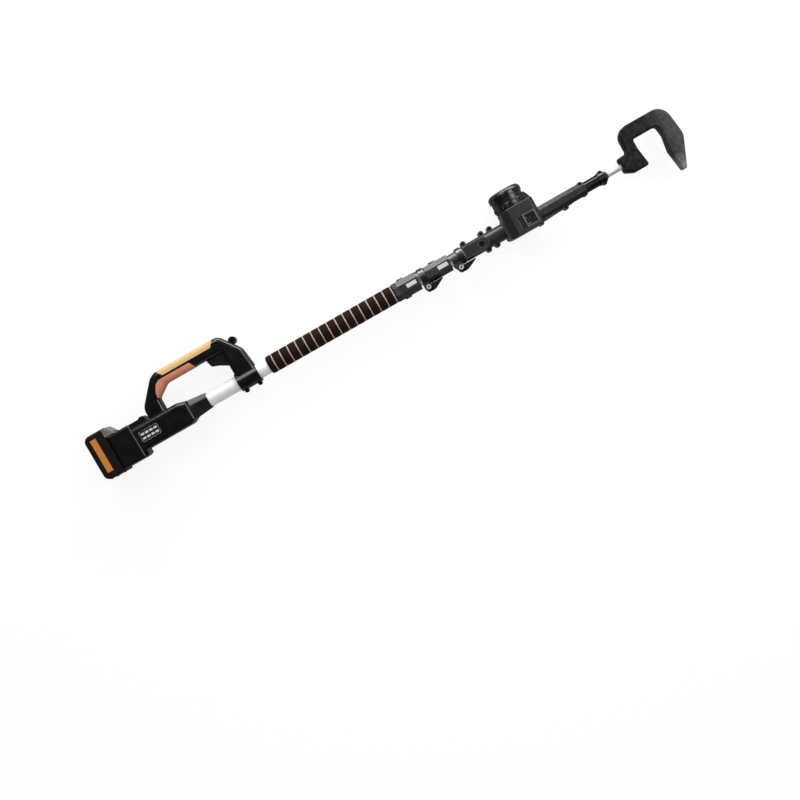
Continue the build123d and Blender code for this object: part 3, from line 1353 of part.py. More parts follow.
# Motor on top of the block, with its axis along Y
motor_axis = Axis((motor_x, 0, 0), (0, 1, 0))
waist_r = MOTOR_WAIST_D / 2
base_r = MOTOR_CAP_D / 2 - MOTOR_RIB_D / 2
can_r = waist_r - MOTOR_WALL
gusset_x = (can_r**2 - GUSSET_WIDTH**2 / 4) ** 0.5 - 1
base_top = BLOCK_TOP + MOTOR_BASE_H
cap_y = base_top + MOTOR_WAIST_H
cap_top = cap_y + MOTOR_CAP_H
cap_roof = cap_top - MOTOR_WALL
with BuildPart() as motor_housing:
    with BuildSketch():
        with BuildLine():
            Polyline(
                (motor_x + BEARING_D / 2, BLOCK_TOP),
                (motor_x + waist_r, BLOCK_TOP),
                (motor_x + base_r, BLOCK_TOP + MOTOR_WALL),
                (motor_x + base_r, base_top - MOTOR_WALL),
                (motor_x + waist_r, base_top),
                (motor_x + waist_r, cap_y),
                (motor_x + can_r, cap_y),
                (motor_x + can_r, BLOCK_TOP + MOTOR_FLOOR),
                (motor_x + BEARING_D / 2, BLOCK_TOP + MOTOR_FLOOR),
                close=True,
            )
        make_face()
    revolve(axis=motor_axis)
    with BuildSketch(up_plane(BLOCK_TOP + MOTOR_WALL)):
        with Locations((motor_x, 0)):
            with PolarLocations(base_r, MOTOR_RIBS):
                Circle(MOTOR_RIB_D / 2)
    extrude(amount=MOTOR_BASE_H - 2 * MOTOR_WALL)
    with BuildSketch():
        with BuildLine():
            Polyline(
                (motor_x + gusset_x, BLOCK_TOP),
                (nose_x - 1, BLOCK_TOP),
                (nose_x - 1, BLOCK_TOP + GUSSET_TOE),
                (motor_x + waist_r, BLOCK_TOP + GUSSET_RISE),
                (motor_x + gusset_x, BLOCK_TOP + GUSSET_RISE),
                close=True,
            )
        make_face()
    extrude(amount=GUSSET_WIDTH / 2, both=True)
    with BuildSketch(up_plane(BLOCK_TOP + MOTOR_FLOOR)):
        with Locations((motor_x, 0)):
            Circle(can_r)
    extrude(amount=cap_y - BLOCK_TOP, mode=Mode.SUBTRACT)
motor_housing.part.label = "motor_housing"
export_step(motor_housing.part, "parts/motor_housing.step")

bearing_low = cap_roof - MOTOR_FLOOR
with BuildPart() as motor_cap:
    with BuildSketch():
        with BuildLine():
            FilletPolyline(
                (motor_x + BEARING_D / 2, cap_top),
                (motor_x + MOTOR_CAP_D / 2, cap_top),
                (motor_x + MOTOR_CAP_D / 2, cap_y),
                (motor_x + can_r, cap_y),
                (motor_x + can_r, cap_roof),
                (motor_x + BEARING_D / 2 + MOTOR_WALL, cap_roof),
                (motor_x + BEARING_D / 2 + MOTOR_WALL, bearing_low),
                (motor_x + BEARING_D / 2, bearing_low),
                radius=[0, MOTOR_CAP_CORNER, 1.5, 0, 6, 0, 0, 0],
                close=True,
            )
        make_face()
    revolve(axis=motor_axis)
    with BuildSketch(up_plane(cap_roof)):
        with Locations((motor_x, 0)):
            Circle(BEARING_D / 2)
    extrude(amount=MOTOR_WALL)
    with BuildSketch(up_plane(cap_y + MOTOR_WALL)):
        with Locations((motor_x, 0)):
            with PolarLocations(MOTOR_CAP_D / 2, MOTOR_VENTS):
                Rectangle(3 * MOTOR_WALL, MOTOR_VENT_WIDTH)
    extrude(amount=MOTOR_CAP_H - MOTOR_CAP_CORNER - MOTOR_WALL, mode=Mode.SUBTRACT)
motor_cap.part.label = "motor_cap"
export_step(motor_cap.part, "parts/motor_cap.step")

stator_low = BLOCK_TOP + MOTOR_FLOOR + BODY_GAP
with BuildPart() as motor_stator:
    with BuildSketch(up_plane(BLOCK_TOP + MOTOR_FLOOR)):
        with Locations((motor_x, 0)):
            Circle(can_r - SNUG)
            Circle(can_r - STATOR_WALL, mode=Mode.SUBTRACT)
    extrude(amount=STATOR_HEIGHT)
motor_stator.part.label = "motor_stator"
export_step(motor_stator.part, "parts/motor_stator.step")

rotor_r = can_r - STATOR_WALL - MOTOR_GAP
with BuildPart() as motor_rotor:
    with BuildSketch(up_plane(stator_low)):
        with Locations((motor_x, 0)):
            Circle(rotor_r)
            Circle(bore_half(SHAFT_D), mode=Mode.SUBTRACT)
    extrude(amount=STATOR_HEIGHT)
motor_rotor.part.label = "motor_rotor"
export_step(motor_rotor.part, "parts/motor_rotor.step")

fan_y = stator_low + STATOR_HEIGHT
with BuildPart() as motor_fan:
    with BuildSketch(up_plane(fan_y)):
        with Locations((motor_x, 0)):
            Circle(FAN_D / 2)
            Circle(bore_half(SHAFT_D), mode=Mode.SUBTRACT)
    extrude(amount=FAN_HEIGHT / 4)
    with BuildSketch(up_plane(fan_y)):
        with Locations((motor_x, 0)):
            with PolarLocations(FAN_D / 3, FAN_BLADES):
                Rectangle(FAN_D / 4, FAN_HEIGHT / 4)
    extrude(amount=FAN_HEIGHT)
motor_fan.part.label = "motor_fan"
export_step(motor_fan.part, "parts/motor_fan.step")


def gear_face(teeth, start):
    """A spur gear's outline, with straight flanks thin enough to leave some backlash."""
    pitch_r = GEAR_MODULE * teeth / 2
    root = 1.25 * GEAR_MODULE
    tip = 0.8 * GEAR_MODULE
    half = 0.2 * pi * GEAR_MODULE
    slope = tan(radians(20))
    with BuildSketch() as face:
        Circle(pitch_r - root)
        with PolarLocations(pitch_r, teeth, start_angle=start):
            Polygon(
                (-1.5 * root, -half - root * slope),
                (-root, -half - root * slope),
                (tip, tip * slope - half),
                (tip, half - tip * slope),
                (-root, half + root * slope),
                (-1.5 * root, half + root * slope),
                align=None,
            )
    return face.sketch


with BuildPart() as motor_shaft:
    with BuildSketch(up_plane(GEAR_RISE)):
        with Locations((motor_x, 0)):
            add(gear_face(PINION_TEETH, 0))
    extrude(amount=GEAR_FACE)
    with BuildSketch(up_plane(GEAR_RISE)):
        with Locations((motor_x, 0)):
            Circle(SHAFT_D / 2)
    extrude(amount=cap_roof - GEAR_RISE)
motor_shaft.part.label = "motor_shaft"
export_step(motor_shaft.part, "parts/motor_shaft.step")

bearing_spots = (
    (motor_x, BLOCK_TOP, MOTOR_FLOOR, BEARING_D, SHAFT_D),
    (motor_x, bearing_low, MOTOR_FLOOR, BEARING_D, SHAFT_D),
    (gear_x, PLATE_RISE, PLATE_THICK, GEAR_BEARING_D, AXLE_D),
)
with BuildPart() as head_bearings:
    for x, y, height, outer_d, inner_d in bearing_spots:
        with BuildSketch(up_plane(y)):
            with Locations((x, 0)):
                Circle(outer_d / 2 - SNUG)
                Circle(inner_d / 2 + RUN_FIT, mode=Mode.SUBTRACT)
        extrude(amount=height)
head_bearings.part.label = "head_bearings"
export_step(head_bearings.part, "parts/head_bearings.step")

with BuildPart() as gear_plate:
    with BuildSketch(up_plane(PLATE_RISE)):
        with BuildLine():
            Polyline(*block_outline(HEAD_WALL), close=True)
        make_face()
        with Locations((gear_x, 0)):
            Circle(GEAR_BEARING_D / 2, mode=Mode.SUBTRACT)
        with Locations((motor_x, 0)):
            Circle(SHAFT_D, mode=Mode.SUBTRACT)
    extrude(amount=PLATE_THICK)
gear_plate.part.label = "gear_plate"
export_step(gear_plate.part, "parts/gear_plate.step")

# Crank gear with its axle and an offset pin, and the slotted yoke that the pin drives back and forth
yoke_low = rod_y - YOKE_HEIGHT / 2
pin_low = yoke_low + BODY_GAP
gear_phase = 180 / GEAR_TEETH
with BuildPart() as crank_gear:
    with BuildSketch(up_plane(GEAR_RISE)):
        with Locations((gear_x, 0)):
            add(gear_face(GEAR_TEETH, gear_phase))
    extrude(amount=GEAR_FACE)
    with BuildSketch(up_plane(GEAR_RISE)):
        with Locations((gear_x, 0)):
            Circle(AXLE_D / 2)
    extrude(amount=PLATE_RISE + PLATE_THICK - GEAR_RISE)
    with BuildSketch(up_plane(pin_low)):
        with Locations((gear_x, -CRANK_RADIUS)):
            Circle(CRANK_PIN_D / 2)
    extrude(amount=GEAR_RISE - pin_low)
crank_gear.part.label = "crank_gear"
export_step(crank_gear.part, "parts/crank_gear.step")

with BuildPart() as crank_sleeve:
    with BuildSketch(up_plane(pin_low)):
        with Locations((gear_x, -CRANK_RADIUS)):
            Circle(SLEEVE_D / 2)
            Circle(bore_half(CRANK_PIN_D), mode=Mode.SUBTRACT)
    extrude(amount=YOKE_HEIGHT - 2 * BODY_GAP)
crank_sleeve.part.label = "crank_sleeve"
export_step(crank_sleeve.part, "parts/crank_sleeve.step")

# The slot is wider than the sleeve by the difference between a sine and a straight line over a quarter turn
turn_share = 2 / pi
sine_lag = (1 - turn_share**2) ** 0.5 - turn_share * acos(turn_share)
slot_width = SLEEVE_D + 2 * (sine_lag * CRANK_RADIUS + BODY_GAP)
slot_length = 2 * (CRANK_RADIUS + BODY_GAP) + SLEEVE_D
yoke_front = gear_x + slot_width / 2 + YOKE_WALL
with BuildPart() as yoke:
    with BuildSketch(up_plane(yoke_low)):
        with Locations((gear_x, 0)):
            RectangleRounded(slot_width + 2 * YOKE_WALL, slot_length + 2 * YOKE_WALL, YOKE_WALL)
            Rectangle(slot_width, slot_length, mode=Mode.SUBTRACT)
    extrude(amount=YOKE_HEIGHT)
    with BuildSketch(Plane.YZ.offset(yoke_front - YOKE_WALL)):
        with Locations((rod_y, 0)):
            Circle(bore_half(STUB_D))
    extrude(amount=YOKE_WALL, mode=Mode.SUBTRACT)
yoke.part.label = "yoke"
export_step(yoke.part, "parts/yoke.step")

with BuildPart() as drive_rod:
    with BuildSketch(Plane.YZ.offset(yoke_front)):
        with Locations((rod_y, 0)):
            Circle(ROD_D / 2)
    extrude(amount=hook_x + HOOK_BORE - yoke_front)
    with BuildSketch(Plane.YZ.offset(yoke_front - YOKE_WALL)):
        with Locations((rod_y, 0)):
            Circle(STUB_D / 2)
    extrude(amount=YOKE_WALL)
drive_rod.part.label = "drive_rod"
export_step(drive_rod.part, "parts/drive_rod.step")

with BuildPart() as rod_bushes:
    for x in (nose_x, seal_x - BUSH_LENGTH):
        with BuildSketch(Plane.YZ.offset(x)):
            with Locations((rod_y, 0)):
                Circle(BUSH_D / 2 - SNUG)
                Circle(ROD_D / 2 + RUN_FIT, mode=Mode.SUBTRACT)
        extrude(amount=BUSH_LENGTH)
rod_bushes.part.label = "rod_bushes"
export_step(rod_bushes.part, "parts/rod_bushes.step")

with BuildPart() as rod_seal:
    with BuildSketch():
        with BuildLine():
            Polyline(
                (seal_x, rod_y + ROD_D / 2 + RUN_FIT),
                (seal_x, rod_y + ROD_D / 2 + SEAL_ROOT),
                (seal_x + SEAL_LIP, rod_y + ROD_D / 2 + SEAL_ROOT),
                (seal_x + SEAL_LENGTH, rod_y + ROD_D / 2 + SEAL_LIP),
                (seal_x + SEAL_LENGTH, rod_y + ROD_D / 2 + RUN_FIT),
                close=True,
            )
        make_face()
    revolve(axis=Axis((0, rod_y, 0), (1, 0, 0)))
rod_seal.part.label = "rod_seal"
export_step(rod_seal.part, "parts/rod_seal.step")

# Hook: a thick plate that goes up from the rod, forward over the branch and down again
arm_x = hook_x + HOOK_SOCKET
mouth_x = arm_x + HOOK_ARM
mouth_end = mouth_x + HOOK_MOUTH
hook_end = hook_x + HOOK_REACH
crown_y = HOOK_TOP - HOOK_CROWN
hook_outline = [
    (hook_x, 13.5),
    (arm_x, 15),
    (arm_x, HOOK_TOP),
    (hook_end - 9, HOOK_TOP),
    (hook_end + 2, -8),
    (hook_end - 26.4, -HOOK_TIP_DROP),
    (hook_end - 34.9, -HOOK_TIP_DROP),
    (mouth_end + 3.5, -26),
    (mouth_end + 8.5, 10),
    (mouth_end + 5, crown_y),
    (mouth_x, crown_y),
    (mouth_x, 12),
    (mouth_x + 6.7, -30),
    (hook_x + 22, -30),
    (hook_x + 1, -20),
]
hook_radii = [5, 6, 26, 32, 40, 5, 5, 15, 20, 8, 6, 30, 5, 12, 5]
hook_slab = slab(hook_outline, hook_radii, HOOK_THICK / 2, HOOK_EDGE)
grub_spots = [(hook_x + HOOK_BORE * share, 0) for share in (0.3, 0.7)]
grub_top = rod_y - ROD_D / 2
with BuildPart() as hook:
    add(hook_slab)
    with BuildSketch(Plane.YZ.offset(hook_x - 1)):
        with Locations((rod_y, 0)):
            Circle(bore_half(ROD_D))
    extrude(amount=HOOK_BORE + 1, mode=Mode.SUBTRACT)
    with BuildSketch(up_plane(rod_y)):
        with Locations(grub_spots):
            Circle(bore_half(HOOK_PIN_D))
    extrude(amount=-HOOK_TIP_DROP, mode=Mode.SUBTRACT)
hook.part.label = "hook"
export_step(hook.part, "parts/hook.step")

with BuildPart() as hook_grub_screws:
    with BuildSketch(up_plane(grub_top)):
        with Locations(grub_spots):
            Circle(HOOK_PIN_D / 2)
    extrude(amount=-2 * HOOK_PIN_D)
hook_grub_screws.part.label = "hook_grub_screws"
export_step(hook_grub_screws.part, "parts/hook_grub_screws.step")
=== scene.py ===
import bmesh
import bpy
import math
from mathutils import Matrix, Vector


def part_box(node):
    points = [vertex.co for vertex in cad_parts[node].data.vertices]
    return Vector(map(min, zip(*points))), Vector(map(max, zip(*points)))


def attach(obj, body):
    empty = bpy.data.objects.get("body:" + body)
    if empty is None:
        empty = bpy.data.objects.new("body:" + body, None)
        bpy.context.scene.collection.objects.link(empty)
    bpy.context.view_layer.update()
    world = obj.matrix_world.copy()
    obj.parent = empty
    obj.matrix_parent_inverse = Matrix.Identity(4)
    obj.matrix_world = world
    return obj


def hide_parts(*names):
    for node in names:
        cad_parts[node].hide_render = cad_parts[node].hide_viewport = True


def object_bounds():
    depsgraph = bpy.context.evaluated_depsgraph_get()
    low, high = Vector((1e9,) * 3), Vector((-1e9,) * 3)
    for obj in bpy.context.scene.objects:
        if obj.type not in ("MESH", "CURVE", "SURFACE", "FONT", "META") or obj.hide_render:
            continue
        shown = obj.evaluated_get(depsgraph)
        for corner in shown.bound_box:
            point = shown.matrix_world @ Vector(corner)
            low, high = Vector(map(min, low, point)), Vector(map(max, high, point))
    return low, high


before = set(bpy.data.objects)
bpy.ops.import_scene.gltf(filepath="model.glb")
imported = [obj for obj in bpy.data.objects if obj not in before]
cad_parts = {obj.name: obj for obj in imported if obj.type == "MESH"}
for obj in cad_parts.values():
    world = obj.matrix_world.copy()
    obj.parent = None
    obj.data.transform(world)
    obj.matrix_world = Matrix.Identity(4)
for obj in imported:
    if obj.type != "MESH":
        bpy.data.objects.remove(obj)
cad_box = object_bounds()

# Battery case: the pack's rear half, a deep black tub of glass-filled nylon.
# Injection moulded in a spark-eroded tool, so its skin is an even fine grain.
CASE_BLACK = "#1A110C"
# edge colour of the case: partly wear, partly a painted edge highlight
CASE_EDGE_WEAR_HIGHLIGHT = "#3A302A"


def linear(hex_code):
    """An sRGB hex colour as linear RGBA."""
    channels = [int(hex_code[i:i + 2], 16) / 255 for i in (1, 3, 5)]
    return [c / 12.92 if c <= 0.04045 else ((c + 0.055) / 1.055) ** 2.4 for c in channels] + [1.0]


def set_inputs(node, inputs):
    """Sets each input of a node to a value, or links it from another node's output."""
    for key, value in inputs.items():
        if isinstance(value, bpy.types.NodeSocket):
            node.id_data.links.new(value, node.inputs[key])
        else:
            node.inputs[key].default_value = value


def add_node(tree, kind, inputs=None, **settings):
    """One node with its settings and its inputs."""
    node = tree.nodes.new(kind)
    for name, value in settings.items():
        setattr(node, name, value)
    set_inputs(node, inputs or {})
    return node


def start_finish(name, sockets):
    """A new material: its tree, its shader with the uniform values set, and the piece's own coordinates."""
    material = bpy.data.materials.new(name)
    material.use_nodes = True
    tree = material.node_tree
    tree.nodes.clear()
    shader = add_node(tree, "ShaderNodeBsdfPrincipled", sockets)
    add_node(tree, "ShaderNodeOutputMaterial", {"Surface": shader.outputs[0]})
    place = add_node(tree, "ShaderNodeTexCoord").outputs["Object"]
    return material, tree, shader, place


def edge_wear_highlight_mask(tree, radius_mm):
    """1 along the edges that hands and leaves rub and where a painted edge highlight goes, 0 on the faces."""
    rounded = add_node(tree, "ShaderNodeBevel", {"Radius": radius_mm / 1000}, samples=4)
    flat = add_node(tree, "ShaderNodeNewGeometry")
    turn = add_node(
        tree,
        "ShaderNodeVectorMath",
        {0: rounded.outputs["Normal"], 1: flat.outputs["Normal"]},
        operation="DOT_PRODUCT",
    )
    # the cosines of a turn of 14 degrees, where the edges' wear and painted highlight begin, and of 44, where
    # they are full
    edge = add_node(
        tree,
        "ShaderNodeMapRange",
        {"Value": turn.outputs["Value"], "From Min": 0.97, "From Max": 0.72},
    )
    return edge.outputs["Result"]


def moulded_plastic(name, colour, pale_edge, grain_mm, roughness, specular, edge_mm=0.8):
    """A moulded plastic: fine grain in the skin, cloudy gloss from handling, paler along its edges, partly
    wear and partly a painted edge highlight.
    """
    material, tree, shader, place = start_finish(name, {"Specular IOR Level": specular, "IOR": 1.52})
    grain = add_node(tree, "ShaderNodeTexNoise", {"Vector": place, "Scale": 1000 / grain_mm, "Detail": 3.0})
    # hands polish it in clouds some 35 mm across
    cloud = add_node(tree, "ShaderNodeTexNoise", {"Vector": place, "Scale": 1000 / 35, "Detail": 3.0})
    # paler edges in clouds: partly wear, partly a painted edge highlight
    edge_wear_and_highlight = add_node(
        tree,
        "ShaderNodeMath",
        {0: edge_wear_highlight_mask(tree, edge_mm), 1: cloud.outputs["Fac"]},
        operation="MULTIPLY",
    )
    tint = add_node(
        tree,
        "ShaderNodeMix",
        {0: edge_wear_and_highlight.outputs[0], 6: linear(colour), 7: linear(pale_edge)},
        data_type="RGBA",
    )
    gloss = add_node(
        tree,
        "ShaderNodeMapRange",
        {"Value": cloud.outputs["Fac"], "From Min": 0.3, "From Max": 0.7,
         "To Min": roughness - 0.06, "To Max": roughness + 0.06},
    )
    skin = add_node(
        tree,
        "ShaderNodeBump",
        {"Strength": 0.25, "Distance": 0.0002, "Height": grain.outputs["Fac"]},
    )
    set_inputs(
        shader,
        {"Base Color": tint.outputs[2], "Roughness": gloss.outputs[0], "Normal": skin.outputs[0]},
    )
    return material


def dress(material, *nodes):
    """Gives CAD nodes their finish."""
    for node in nodes:
        for material_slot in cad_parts[node].material_slots:
            material_slot.material = material


# The real grain is about 0.3 mm, drawn at 1.2 mm so that it shows at all, and so on the other mouldings.
glass_filled_nylon = moulded_plastic("glass-filled nylon, black", CASE_BLACK, CASE_EDGE_WEAR_HIGHLIGHT, 1.2, 0.42, 0.3)
dress(glass_filled_nylon, "battery_case")

# Battery cover: the pack's front plate with its deck and the sloped shoulder over the release button.
# Black ABS plate and deck; the shoulder that stands in view above the handle's foot is painted smoke grey, a
# painted highlight.
COVER_BLACK = "#141210"
SHOULDER_HIGHLIGHT = "#737677"
SHOULDER_FOOT = 0.0385  # height where the painted highlight starts
SHOULDER_BACK = 0.0443  # and its place along the pole
HIGHLIGHT_BLEND = 0.0003  # half the width of the blend into the painted highlight
abs_with_painted_shoulder, tree, shader, place = start_finish(
    "ABS, black with painted shoulder highlight", {"Specular IOR Level": 0.3}
)
# painted highlight: the shoulder above a height and forward of a place along the pole is painted smoke grey
axes = add_node(tree, "ShaderNodeSeparateXYZ", {0: place})
shoulder_highlight = add_node(tree, "ShaderNodeMath", operation="MULTIPLY")
for factor, (axis, seam) in enumerate((("Y", SHOULDER_FOOT), ("X", SHOULDER_BACK))):
    beyond = add_node(
        tree,
        "ShaderNodeMapRange",
        {"Value": axes.outputs[axis], "From Min": seam - HIGHLIGHT_BLEND, "From Max": seam + HIGHLIGHT_BLEND},
    )
    set_inputs(shoulder_highlight, {factor: beyond.outputs[0]})
tint = add_node(
    tree,
    "ShaderNodeMix",
    {0: shoulder_highlight.outputs[0], 6: linear(COVER_BLACK), 7: linear(SHOULDER_HIGHLIGHT)},
    data_type="RGBA",
)
grain = add_node(tree, "ShaderNodeTexNoise", {"Vector": place, "Scale": 1000 / 1.2, "Detail": 3.0})
gloss = add_node(
    tree,
    "ShaderNodeMapRange",
    {"Value": grain.outputs["Fac"], "To Min": 0.32, "To Max": 0.5},
)
skin = add_node(
    tree,
    "ShaderNodeBump",
    {"Strength": 0.2, "Distance": 0.0002, "Height": grain.outputs["Fac"]},
)
set_inputs(
    shader,
    {"Base Color": tint.outputs[2], "Roughness": gloss.outputs[0], "Normal": skin.outputs[0]},
)
dress(abs_with_painted_shoulder, "battery_cover")

# Battery label: a blank film of orange polyester on the pack's side, with a printed dark edge.
# Screen printed and stuck on, so it is smooth and a little glossier than the case round it.
LABEL_ORANGE = "#D98A46"
LABEL_DEEP = "#CC7C39"
LABEL_EDGE = "#5A3122"
LABEL_BORDER = 0.0009
LABEL_BLEED = 0.0002  # half the width over which the edge's ink runs out


def clouded(tree, shader, place, size_mm, detail, colour, other):
    """Gives a finish two shades that drift into each other over a real size, and returns the drift."""
    drift = add_node(tree, "ShaderNodeTexNoise", {"Vector": place, "Scale": 1000 / size_mm, "Detail": detail})
    tint = add_node(
        tree,
        "ShaderNodeMix",
        {0: drift.outputs["Fac"], 6: linear(colour), 7: linear(other)},
        data_type="RGBA",
    )
    set_inputs(shader, {"Base Color": tint.outputs[2]})
    return drift.outputs["Fac"]


def lay_over(tree, shader, where, colour):
    """Lays a colour over a finish's own, none where the mask is 0 and all where it is 1."""
    under = shader.inputs["Base Color"].links[0].from_socket
    tint = add_node(tree, "ShaderNodeMix", {0: where, 6: under, 7: linear(colour)}, data_type="RGBA")
    set_inputs(shader, {"Base Color": tint.outputs[2]})


def past_sides(tree, place, middle, half):
    """How far a point lies past the nearest side of a rectangle in X and Y, below 0 inside it."""
    centred = add_node(tree, "ShaderNodeVectorMath", {0: place, 1: middle}, operation="SUBTRACT")
    folded = add_node(tree, "ShaderNodeVectorMath", {0: centred.outputs[0]}, operation="ABSOLUTE")
    past = add_node(tree, "ShaderNodeVectorMath", {0: folded.outputs[0], 1: half}, operation="SUBTRACT")
    sides = add_node(tree, "ShaderNodeSeparateXYZ", {0: past.outputs[0]})
    nearest = add_node(
        tree,
        "ShaderNodeMath",
        {0: sides.outputs["X"], 1: sides.outputs["Y"]},
        operation="MAXIMUM",
    )
    return nearest.outputs[0]


printed_film, tree, shader, place = start_finish(
    "polyester film, orange print", {"Roughness": 0.34, "Coat Weight": 0.15, "Coat Roughness": 0.2}
)
clouded(tree, shader, place, 15, 4.0, LABEL_ORANGE, LABEL_DEEP)  # ink lies unevenly over some 15 mm
low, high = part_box("battery_label")
border = add_node(
    tree,
    "ShaderNodeMapRange",
    {"Value": past_sides(tree, place, (low + high) / 2, (high - low) / 2),
     "From Min": -LABEL_BORDER - LABEL_BLEED, "From Max": -LABEL_BORDER + LABEL_BLEED},
)
lay_over(tree, shader, border.outputs[0], LABEL_EDGE)
dress(printed_film, "battery_label")

# Case screws: four cross-head screws in the underside of the case that hold the pack's halves together.
# Zinc-plated steel, cold headed; they stand on a rectangle, so one head is made and set at its corners.
CASE_SCREW_R = 0.0030
CASE_SCREW_H = 0.0012
CASE_SCREW_SUNK = 0.0002  # how deep the head sits in the case
CASE_SLOT = 0.0011
CASE_SLOT_REACH = 1.3 * CASE_SCREW_R
CASE_SLOT_TOOL = 0.001  # height of the bar that cuts the slot, half of it in the head
CASE_SPREAD_X = 0.45  # shares of the case's length and width
CASE_SPREAD_Z = 0.62


def drawn_lines(tree, place, line_mm, stretch, detail=3.0):
    """Fine tool lines at a real spacing, drawn out along the axes that have a small stretch."""
    drawn = add_node(tree, "ShaderNodeMapping", {"Vector": place, "Scale": stretch})
    lines = add_node(
        tree,
        "ShaderNodeTexNoise",
        {"Vector": drawn.outputs[0], "Scale": 1000 / line_mm, "Detail": detail},
    )
    return lines.outputs["Fac"]


def worked_metal(name, colour, tarnish, roughness, line_mm, stretch):
    """A worked metal: tool lines drawn out along one axis, and a breath of tarnish in patches of 30 mm."""
    material, tree, shader, place = start_finish(name, {"Metallic": 1.0})
    clouded(tree, shader, place, 30, 4.0, colour, tarnish)
    lines = drawn_lines(tree, place, line_mm, stretch)
    gloss = add_node(
        tree,
        "ShaderNodeMapRange",
        {"Value": lines, "From Min": 0.25, "From Max": 0.75,
         "To Min": roughness - 0.08, "To Max": roughness + 0.08},
    )
    skin = add_node(tree, "ShaderNodeBump", {"Strength": 0.05, "Distance": 0.0001, "Height": lines})
    set_inputs(shader, {"Roughness": gloss.outputs[0], "Normal": skin.outputs[0]})
    return material


def start_tree(name, sizes):
    """A Geometry Nodes tree with a named input for each of its sizes."""
    tree = bpy.data.node_groups.new(name, "GeometryNodeTree")
    for size in sizes:
        tree.interface.new_socket(size, in_out="INPUT", socket_type="NodeSocketFloat")
    tree.interface.new_socket("Geometry", in_out="OUTPUT", socket_type="NodeSocketGeometry")
    return tree, add_node(tree, "NodeGroupInput").outputs


def grow(name, tree, sizes, geometry, material):
    """Ends a tree, runs it with its sizes set, and keeps the result as a plain mesh at the origin."""
    whole = add_node(tree, "GeometryNodeRealizeInstances", {"Geometry": geometry})
    coated = add_node(
        tree,
        "GeometryNodeSetMaterial",
        {"Geometry": whole.outputs["Geometry"], "Material": material},
    )
    add_node(tree, "NodeGroupOutput", {"Geometry": coated.outputs["Geometry"]})
    piece = bpy.data.objects.new(name, bpy.data.meshes.new(name))
    bpy.context.scene.collection.objects.link(piece)
    modifier = piece.modifiers.new(name, "NODES")
    modifier.node_group = tree
    for item in tree.interface.items_tree:
        if item.in_out == "INPUT":
            modifier[item.identifier] = sizes[item.name]
    evaluated = piece.evaluated_get(bpy.context.evaluated_depsgraph_get())
    grown = bpy.data.meshes.new_from_object(evaluated)
    piece.modifiers.clear()
    piece.data = grown
    return piece


zinc_steel = worked_metal("zinc-plated steel", "#B9BBBA", "#8E8F8D", 0.34, 0.8, (1.0, 1.0, 1.0))
low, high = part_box("battery_case")
case_sizes = {
    "Head radius": CASE_SCREW_R,
    "Head height": CASE_SCREW_H,
    "Slot width": CASE_SLOT,
    "Slot reach": CASE_SLOT_REACH,
    "Slot tool": CASE_SLOT_TOOL,
    "Spread X": CASE_SPREAD_X * (high.x - low.x),
    "Spread Z": CASE_SPREAD_Z * (high.z - low.z),
}
tree, size = start_tree("case screws", case_sizes)
head = add_node(
    tree,
    "GeometryNodeMeshCylinder",
    {"Vertices": 24, "Radius": size["Head radius"], "Depth": size["Head height"]},
)
arm = add_node(
    tree,
    "ShaderNodeCombineXYZ",
    {"X": size["Slot reach"], "Y": size["Slot width"], "Z": size["Slot tool"]},
)
bar = add_node(tree, "GeometryNodeMeshCube", {"Size": arm.outputs[0]})
slotted = add_node(
    tree,
    "GeometryNodeMeshBoolean",
    {"Mesh 1": head.outputs["Mesh"]},
    operation="DIFFERENCE",
    solver="EXACT",
)
for turn in (0.0, math.pi / 2):
    slot_tool = add_node(
        tree,
        "GeometryNodeTransform",
        {"Geometry": bar.outputs["Mesh"], "Rotation": (0.0, 0.0, turn),
         "Translation": (0.0, 0.0, CASE_SCREW_H / 2)},
    )
    set_inputs(slotted, {"Mesh 2": slot_tool.outputs["Geometry"]})
corners = add_node(
    tree,
    "GeometryNodeMeshGrid",
    {"Size X": size["Spread X"], "Size Y": size["Spread Z"], "Vertices X": 2, "Vertices Y": 2},
)
screws = add_node(
    tree,
    "GeometryNodeInstanceOnPoints",
    {"Points": corners.outputs["Mesh"], "Instance": slotted.outputs["Mesh"]},
)
seated = add_node(
    tree,
    "GeometryNodeTransform",
    {"Geometry": screws.outputs[0], "Rotation": (math.pi / 2, 0.0, 0.0),
     "Translation": ((low.x + high.x) / 2, low.y - CASE_SCREW_H / 2 + CASE_SCREW_SUNK, 0.0)},
)
case_screws = grow("battery_case_screws", tree, case_sizes, seated.outputs["Geometry"], zinc_steel)
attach(case_screws, "battery")

# Release button: the grey push plate in the shoulder, with three thumb ridges across its sloped face.
# Moulded ABS, matt; the ridges repeat down the slope, so one round bar is set at each step of a line.
BUTTON_GREY = "#8A8887"
# edge colour of the button: partly wear, partly a painted edge highlight
BUTTON_EDGE_WEAR_HIGHLIGHT = "#A3A2A0"
BUTTON_REAR = 0.002  # depth of the button's rear edge, behind the slope
BUTTON_END = 0.0035  # the slope ends within this of the button's lower and upper edge
RIDGE_R = 0.0007
RIDGE_WIDE = 0.7  # share of the button's width
RIDGE_FIRST = 0.22  # shares of the way up the slope
RIDGE_LAST = 0.78
button_abs = moulded_plastic("ABS, mid grey", BUTTON_GREY, BUTTON_EDGE_WEAR_HIGHLIGHT, 1.2, 0.45, 0.3)
dress(button_abs, "battery_button")
low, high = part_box("battery_button")
face = [v.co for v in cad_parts["battery_button"].data.vertices if v.co.x > low.x + BUTTON_REAR]
foot = max((c for c in face if c.y < low.y + BUTTON_END), key=lambda c: c.x)
crown = max((c for c in face if c.y > high.y - BUTTON_END), key=lambda c: c.x)
foot = Vector((foot.x, foot.y, 0.0))
crown = Vector((crown.x, crown.y, 0.0))
